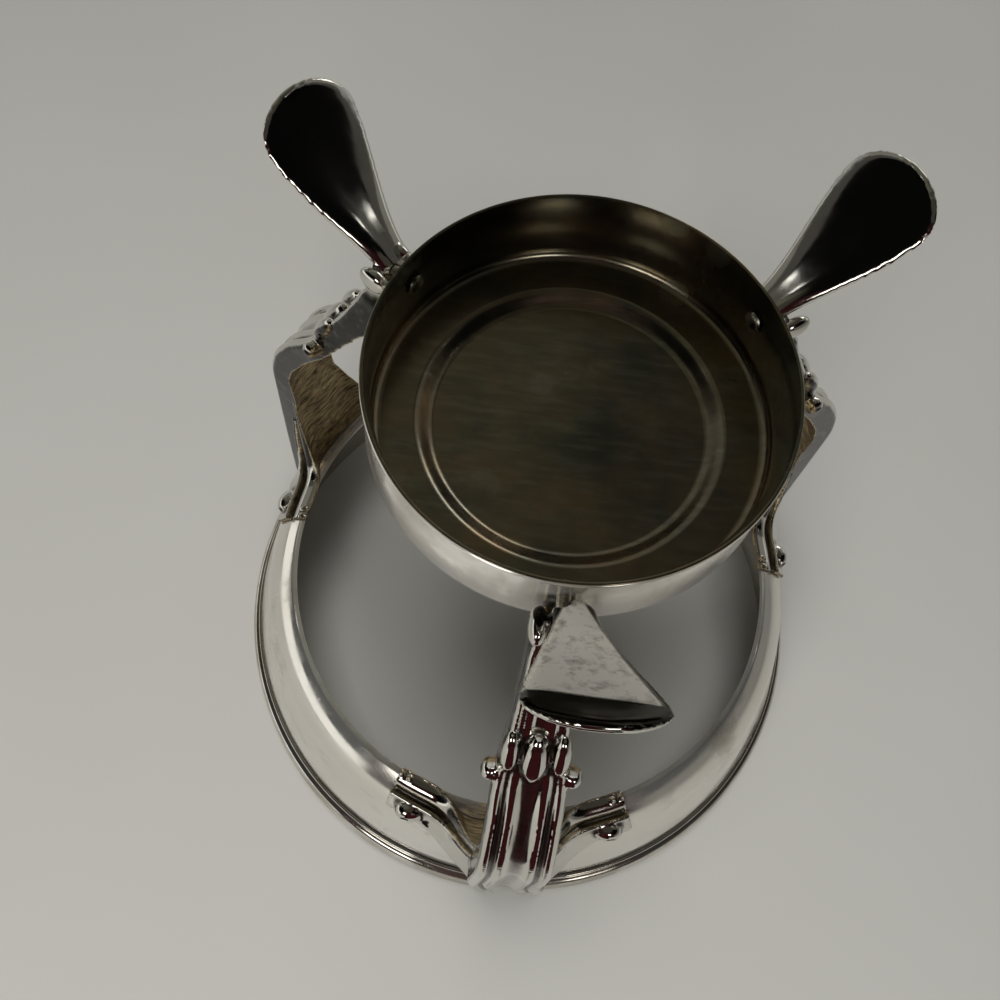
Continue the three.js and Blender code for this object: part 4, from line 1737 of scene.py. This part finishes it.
@dataclass(frozen=True)
class Leg:
    """One cast leg: column, apron, cuff and leaf fused into one casting.

    Before and after it is laid back onto the exact forms it is relaxed, in
    turns of so many rounds over a range of heights.
    """

    column: Column
    apron: Apron
    cuff: Cuff
    leaf: Leaf
    cup: BurnerCup
    rivets: Rivets
    wear: Wear = Wear()
    voxel: float = 0.36
    smoothing: tuple[tuple[int, Range], ...] = ((5, EVERYWHERE), (12, (133.0, 138.0)))
    polishing: tuple[tuple[int, Range], ...] = ((8, EVERYWHERE), (60, (134.0, 138.0)))
    crease: float = 35.0

    def shifted(self, shell: Shell, leg: LegSet) -> Shell:
        """Shifts the foot round the axis, less and less up to the collar's top."""
        fade = np.clip(1 - shell.points[:, 2] / self.apron.seat.collar.height, 0, None)
        return Shell(turned(shell.points, leg.foot * fade), shell.faces)

    def room(self) -> Shell:
        """Makes the space that collar, wire and cup take, with the seat gap.

        Returns:
            The space, as two closed shells.
        """
        seat, cup = self.apron.seat, self.cup
        ring = np.vstack([
            [(0.0, BELOW_FLOOR)], seat.profile(), [(0.0, seat.collar.height + seat.gap)]])
        base, outside = cup.rim_height - cup.depth, cup.base_radius + seat.gap
        neck, top = cup.rim_radius + cup.bead + seat.gap, cup.rim_height + 2 * self.leaf.rise
        bowl = np.array([
            (0.0, base - seat.gap), (outside, base - seat.gap), (outside, base + cup.corner),
            (neck, cup.rim_height - 4 * cup.bead), (neck, top), (0.0, top),
        ])
        return merged([revolve(ring, Steps.ROUND), revolve(bowl, Steps.ROUND)])

    def cut(self, piece: Object, room: Shell) -> None:
        """Cuts a space out of the casting.

        Args:
            piece: the casting.
            room: the space, as closed shells that don't touch each other.
        """
        cutter = make_object("leg_room", room)
        point_outward(cutter)
        fit = piece.modifiers.new("fit", "BOOLEAN")
        fit.operation, fit.solver, fit.object = "DIFFERENCE", "EXACT", cutter
        bake_modifiers(piece)
        bpy.data.objects.remove(cutter)

    def mark(self, piece: Object, leg: LegSet) -> None:
        """Writes where the casting is hollow, rough behind and pitted, and where near black shade
        is painted on it.

        Args:
            piece: the casting, still along +X.
            leg: how the leg was set and has worn.
        """
        wear = self.wear
        point_outward(piece)
        mark_recesses(piece, wear.recess_rounds, wear.recess_depth)
        (x, y, z), (out, side, up) = vertices(piece).T, vertex_normals(piece).T
        behind = smoothstep(*wear.behind, -out) * smoothstep(*wear.behind_heights, z)
        upward = smoothstep(*wear.upward, (up - out) / math.sqrt(2))
        along = x - self.leaf.root_radius
        across = np.abs(y - leg.side - math.tan(math.radians(leg.sway)) * along)
        room = wear.face_half + wear.face_spread * (along + wear.face_start)
        outer, inner = wear.face_edge
        toe = smoothstep(*wear.toe_heights, z - wear.toe_slant * y)
        face = leg.pitted * upward * smoothstep(room + outer, room + inner, across) * (1 - toe)
        # painted shade on the front leaf's upward rims and toe, for their dark reflections
        bevel = leg.pitted * upward * (1 - face) * smoothstep(*wear.bevel_heights, z)
        face *= smoothstep(*wear.upright, np.abs(side))
        # the wings' upward tops: matt and pitted plate, with painted shade
        wing = (smoothstep(*wear.wing_reach, np.abs(y)) * smoothstep(*wear.wing_heights, z)
                * smoothstep(*wear.wing_upward, up))
        # painted shade on the flanks, for the dim reflection of the shaded table
        flank = smoothstep(*wear.flank_side, np.abs(side)) * smoothstep(*wear.flank_heights, z)
        stain_and_painted_shade = np.maximum(bevel, wear.flank_painted_shade * flank) + wear.wing_painted_shade * wing
        set_attribute(piece, "back", behind)
        set_attribute(piece, "pitted", np.maximum(face, wear.wing_pitted * wing))
        set_attribute(piece, "stain_and_painted_shade", stain_and_painted_shade)

    def build(self, place: Place, leg: LegSet, material: Material) -> Object:
        """Fuses the leg's forms, fits it to collar and cup and turns it to its place.

        Args:
            place: where it stands.
            leg: how it was set and has worn.
            material: its finish.

        Returns:
            The leg.
        """
        foot = merged([self.column.shell(), *self.apron.shells()])
        shells = [self.shifted(foot, leg), *self.cuff.shells(), *self.leaf.shells(leg)]
        piece = make_object(f"leg_{place.name.lower()}_cast", merged(shells))
        point_outward(piece)
        fuse = piece.modifiers.new("fuse", "REMESH")
        fuse.mode = "VOXEL"
        fuse.voxel_size = self.voxel * MM * 1
        bake_modifiers(piece)
        for rounds, heights in self.smoothing:
            relax(piece, rounds, heights)
        snap(piece, merged(shells), self.voxel)
        for rounds, heights in self.polishing:
            relax(piece, rounds, heights)
        eyes = merged(self.shifted(eye, leg) for eye in self.apron.eyes())
        self.cut(piece, self.room())
        self.cut(piece, merged([eyes, self.rivets.bore()]))
        self.mark(piece, leg)
        write_vertices(piece, turned(vertices(piece), place.value))
        finish_piece(piece, self.crease, material)
        return piece


# Studio


@dataclass(frozen=True)
class Photograph:
    """Where the photograph was taken from, and its field of view."""

    place: tuple[float, float, float] = (-11.086, -64.399, 240.14)
    azimuth: float = -1.16
    elevation: float = 67.93
    roll: float = 7.36
    focal_share: float = 0.8248
    sensor: float = 36.0
    nearest: float = 5.0

    def build(self) -> None:
        """Puts the camera there."""
        az, el, roll = (math.radians(v) for v in (self.azimuth, self.elevation, self.roll))
        away = np.array([math.cos(el) * math.sin(az), -math.cos(el) * math.cos(az), math.sin(el)])
        right = np.array([math.cos(az), math.sin(az), 0.0])
        up = np.cross(away, right)
        side = math.cos(roll) * right + math.sin(roll) * up
        top = -math.sin(roll) * right + math.cos(roll) * up
        data = bpy.data.cameras.new("photograph")
        data.sensor_fit = "HORIZONTAL"
        data.sensor_width, data.lens = self.sensor, self.sensor * self.focal_share
        data.clip_start = self.nearest * MM
        camera = bpy.data.objects.new("photograph", data)
        bpy.context.scene.collection.objects.link(camera)
        camera.matrix_world = frame_matrix(side, top, away, np.array(self.place) * MM)
        bpy.context.scene.camera = camera


def frame_matrix(side: np.ndarray, top: np.ndarray, away: np.ndarray, place: np.ndarray) -> Matrix:
    """Returns the matrix of a thing at a place with these axes."""
    rows = [(side[i], top[i], away[i], place[i]) for i in range(3)]
    return Matrix(rows + [(0.0, 0.0, 0.0, 1.0)])


@dataclass(frozen=True)
class SoftLamp:
    """A soft box that faces the stand and that polished metal doesn't show."""

    name: str
    place: tuple[float, float, float]
    size: tuple[float, float]
    watts: float

    def build(self) -> None:
        """Hangs the lamp."""
        data = bpy.data.lights.new(self.name, "AREA")
        data.shape = "RECTANGLE"
        data.size, data.size_y = self.size[0] * MM, self.size[1] * MM
        data.energy = self.watts
        lamp = bpy.data.objects.new(self.name, data)
        bpy.context.scene.collection.objects.link(lamp)
        at = np.array(self.place) * MM
        away = at / np.linalg.norm(at)
        side = np.cross((0.0, 0.0, 1.0), away)
        side = side / np.linalg.norm(side)
        lamp.matrix_world = frame_matrix(side, np.cross(away, side), away, at)
        lamp.visible_glossy = False


@dataclass(frozen=True)
class Card:
    """A studio card curved round the stand, which only polished metal mirrors.

    Attributes:
        name: its name.
        azimuths: its first and last angle from +X in degrees.
        low: distance from the axis and height of its lower edge in millimetres.
        high: the same of its upper edge.
        colour: its hex colour.
        strength: how bright it is, where 1 is its own colour.
    """

    name: str
    azimuths: tuple[float, float]
    low: tuple[float, float]
    high: tuple[float, float]
    colour: str
    strength: float = 1.0
    columns: int = 49

    def build(self) -> None:
        """Sets the card up."""
        columns = self.columns
        turn = np.radians(np.linspace(*self.azimuths, columns))
        rows = [
            np.stack([radius * np.cos(turn), radius * np.sin(turn), np.full(columns, height)], 1)
            for radius, height in (self.low, self.high)
        ]
        faces = [(c, c + 1, columns + c + 1, columns + c) for c in range(columns - 1)]
        card = make_object(self.name, Shell(np.vstack(rows), faces))
        material = bpy.data.materials.new(self.name)
        material.use_nodes = True
        tree = material.node_tree
        glow = add(tree, "Emission", {"Color": self.colour, "Strength": self.strength})
        fill(tree, tree.nodes["Material Output"], {"Surface": glow})
        card.data.materials.append(material)
        for ray in ("camera", "diffuse", "shadow", "transmission", "volume_scatter"):
            setattr(card, f"visible_{ray}", False)


@dataclass(frozen=True)
class Studio:
    """The table top, the soft lamp, the cards that the silver mirrors and the backdrop."""

    reach: float = 1500.0
    backdrop: str = "C9C8C4"
    shade: float = 0.3
    lamps: tuple[SoftLamp, ...] = (
        SoftLamp("overhead", (-60.0, 90.0, 850.0), (300.0, 300.0), 4.2),
        SoftLamp("front fill", (-190.0, -720.0, 420.0), (600.0, 240.0), 6.8),
    )
    cards: tuple[Card, ...] = (
        Card("right card", (-52.0, 9.0), (1160.0, 310.0), (640.0, 1010.0), "070707"),
        Card("left card", (173.0, 232.0), (1160.0, 310.0), (640.0, 1010.0), "070707"),
        Card("right edge card", (9.0, 22.0), (1160.0, 310.0), (640.0, 1010.0), "4B4945"),
        Card("left edge card", (157.0, 173.0), (1160.0, 310.0), (640.0, 1010.0), "4B4945"),
        Card("back card", (22.0, 157.0), (1180.0, 310.0), (650.0, 1020.0), "7E7C76"),
        Card("right horizon card", (-52.0, 22.0), (1190.0, 2.0), (1160.0, 310.0), "6E6B65"),
        Card("left horizon card", (158.0, 232.0), (1190.0, 2.0), (1160.0, 310.0), "F4F2EC", 1.1),
        Card("front card", (-130.0, -50.0), (1180.0, 20.0), (640.0, 1010.0), "2A1013"),
        Card("near front card", (-104.0, -76.0), (131.0, 14.0), (150.0, 120.0), "381618"),
        Card("near left edge card", (-108.0, -104.0), (131.0, 14.0), (150.0, 120.0), "0D0A0A"),
        Card("near right edge card", (-76.0, -72.0), (131.0, 14.0), (150.0, 120.0), "0D0A0A"),
        Card("ceiling card", (-160.0, 80.0), (700.0, 960.0), (0.0, 1180.0), "413E38"),
        Card("back ceiling card", (80.0, 200.0), (700.0, 960.0), (0.0, 1180.0), "5E5C50"),
        Card("right lamp", (5.0, 8.0), (775.0, 755.0), (762.0, 768.0), "FFFDF8", 5.0),
        Card("left lamp", (174.0, 177.5), (615.0, 820.0), (600.0, 832.0), "FFFDF8", 5.0),
        Card("front left lamp", (-123.0, -106.0), (920.0, 430.0), (810.0, 620.0), "FFFDF8", 5.0),
        Card("front right lamp", (-74.0, -61.0), (920.0, 430.0), (810.0, 620.0), "FFFDF8", 5.0),
        Card("back right lamp", (50.0, 78.0), (1050.0, 400.0), (880.0, 600.0), "FFFDF8", 2.5),
    )

    def build(self) -> None:
        """Sets up the studio."""
        corners = self.reach * np.array([(-1, -1, 0), (1, -1, 0), (1, 1, 0), (-1, 1, 0)], float)
        table = make_object("table_top", Shell(corners, [(0, 1, 2, 3)]))
        table.data.materials.append(TableLaminate().material())
        for part in (*self.lamps, *self.cards, Photograph()):
            part.build()
        world = bpy.data.worlds.new("studio")
        bpy.context.scene.world = world
        world.use_nodes = True
        tree = world.node_tree
        path = add(tree, "LightPath")
        seen = add(tree, "Math", {
            0: path.outputs["Is Camera Ray"], 1: path.outputs["Is Glossy Ray"]}, operation="ADD")
        shown = add(tree, "Math", {
            0: seen, 1: path.outputs["Is Transmission Ray"]}, operation="ADD", use_clamp=True)
        strength = add(tree, "MapRange", {"Value": shown, "To Min": self.shade, "To Max": 1.0})
        fill(tree, tree.nodes["Background"], {"Color": self.backdrop, "Strength": strength})
        bpy.context.scene.view_settings.view_transform = "Standard"
        LOG.info("studio: %d lamps and %d cards", len(self.lamps), len(self.cards))


LEG_SETS = {
    Place.FRONT: LegSet(foot=3.1, sway=3.0, pitch=-5.5, side=1.6, pitted=1.0),
    Place.RIGHT: LegSet(sway=5.0, out=-0.8, side=1.6),
    Place.LEFT: LegSet(sway=-7.0, out=2.0, side=-1.5),
}


def settle(piece: Object, slot: str, *nodes: str) -> None:
    """Fixes a piece to the frame in place of its CAD nodes.

    Args:
        piece: the finished piece.
        slot: the record's material slot; not used.
        nodes: the CAD nodes it stands for.
    """
    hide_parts(*nodes)
    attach(piece, BODY)


def main() -> None:
    """Builds the stand and the studio."""
    logging.basicConfig(level=logging.INFO, format="%(name)s: %(message)s")
    polished, cast = PolishedSilver().material(), CastSilver().material()
    drawn = PolishedSilver("drawn silver plated wire", dull=0.03).material()
    hazy = PolishedSilver("hazy silver plate of the cup", dull=0.28).material()
    collar, wire, cup = Collar(), ReededWire(), BurnerCup()
    settle(collar.build(polished), "silver_plate", "collar")
    settle(wire.build(drawn), "silver_plate", "reeded_wire")
    settle(cup.build(hazy, TarnishedSilver().material()), "tarnished_silver", "burner_cup")
    rivets = Rivets(cup)
    heads = rivets.build(RivetSilver().material())
    settle(heads, "rivet_silver", "rivet_front", "rivet_right", "rivet_left")
    seat = Seat(collar, wire)
    column = Column(seat)
    leg = Leg(column, Apron(seat, column), Cuff(column), Leaf(), cup, rivets)
    for place, set_by_hand in LEG_SETS.items():
        settle(leg.build(place, set_by_hand, cast), "silver_plate", f"leg_{place.name.lower()}")
    Studio().build()


if __name__ == "__main__":
    main()
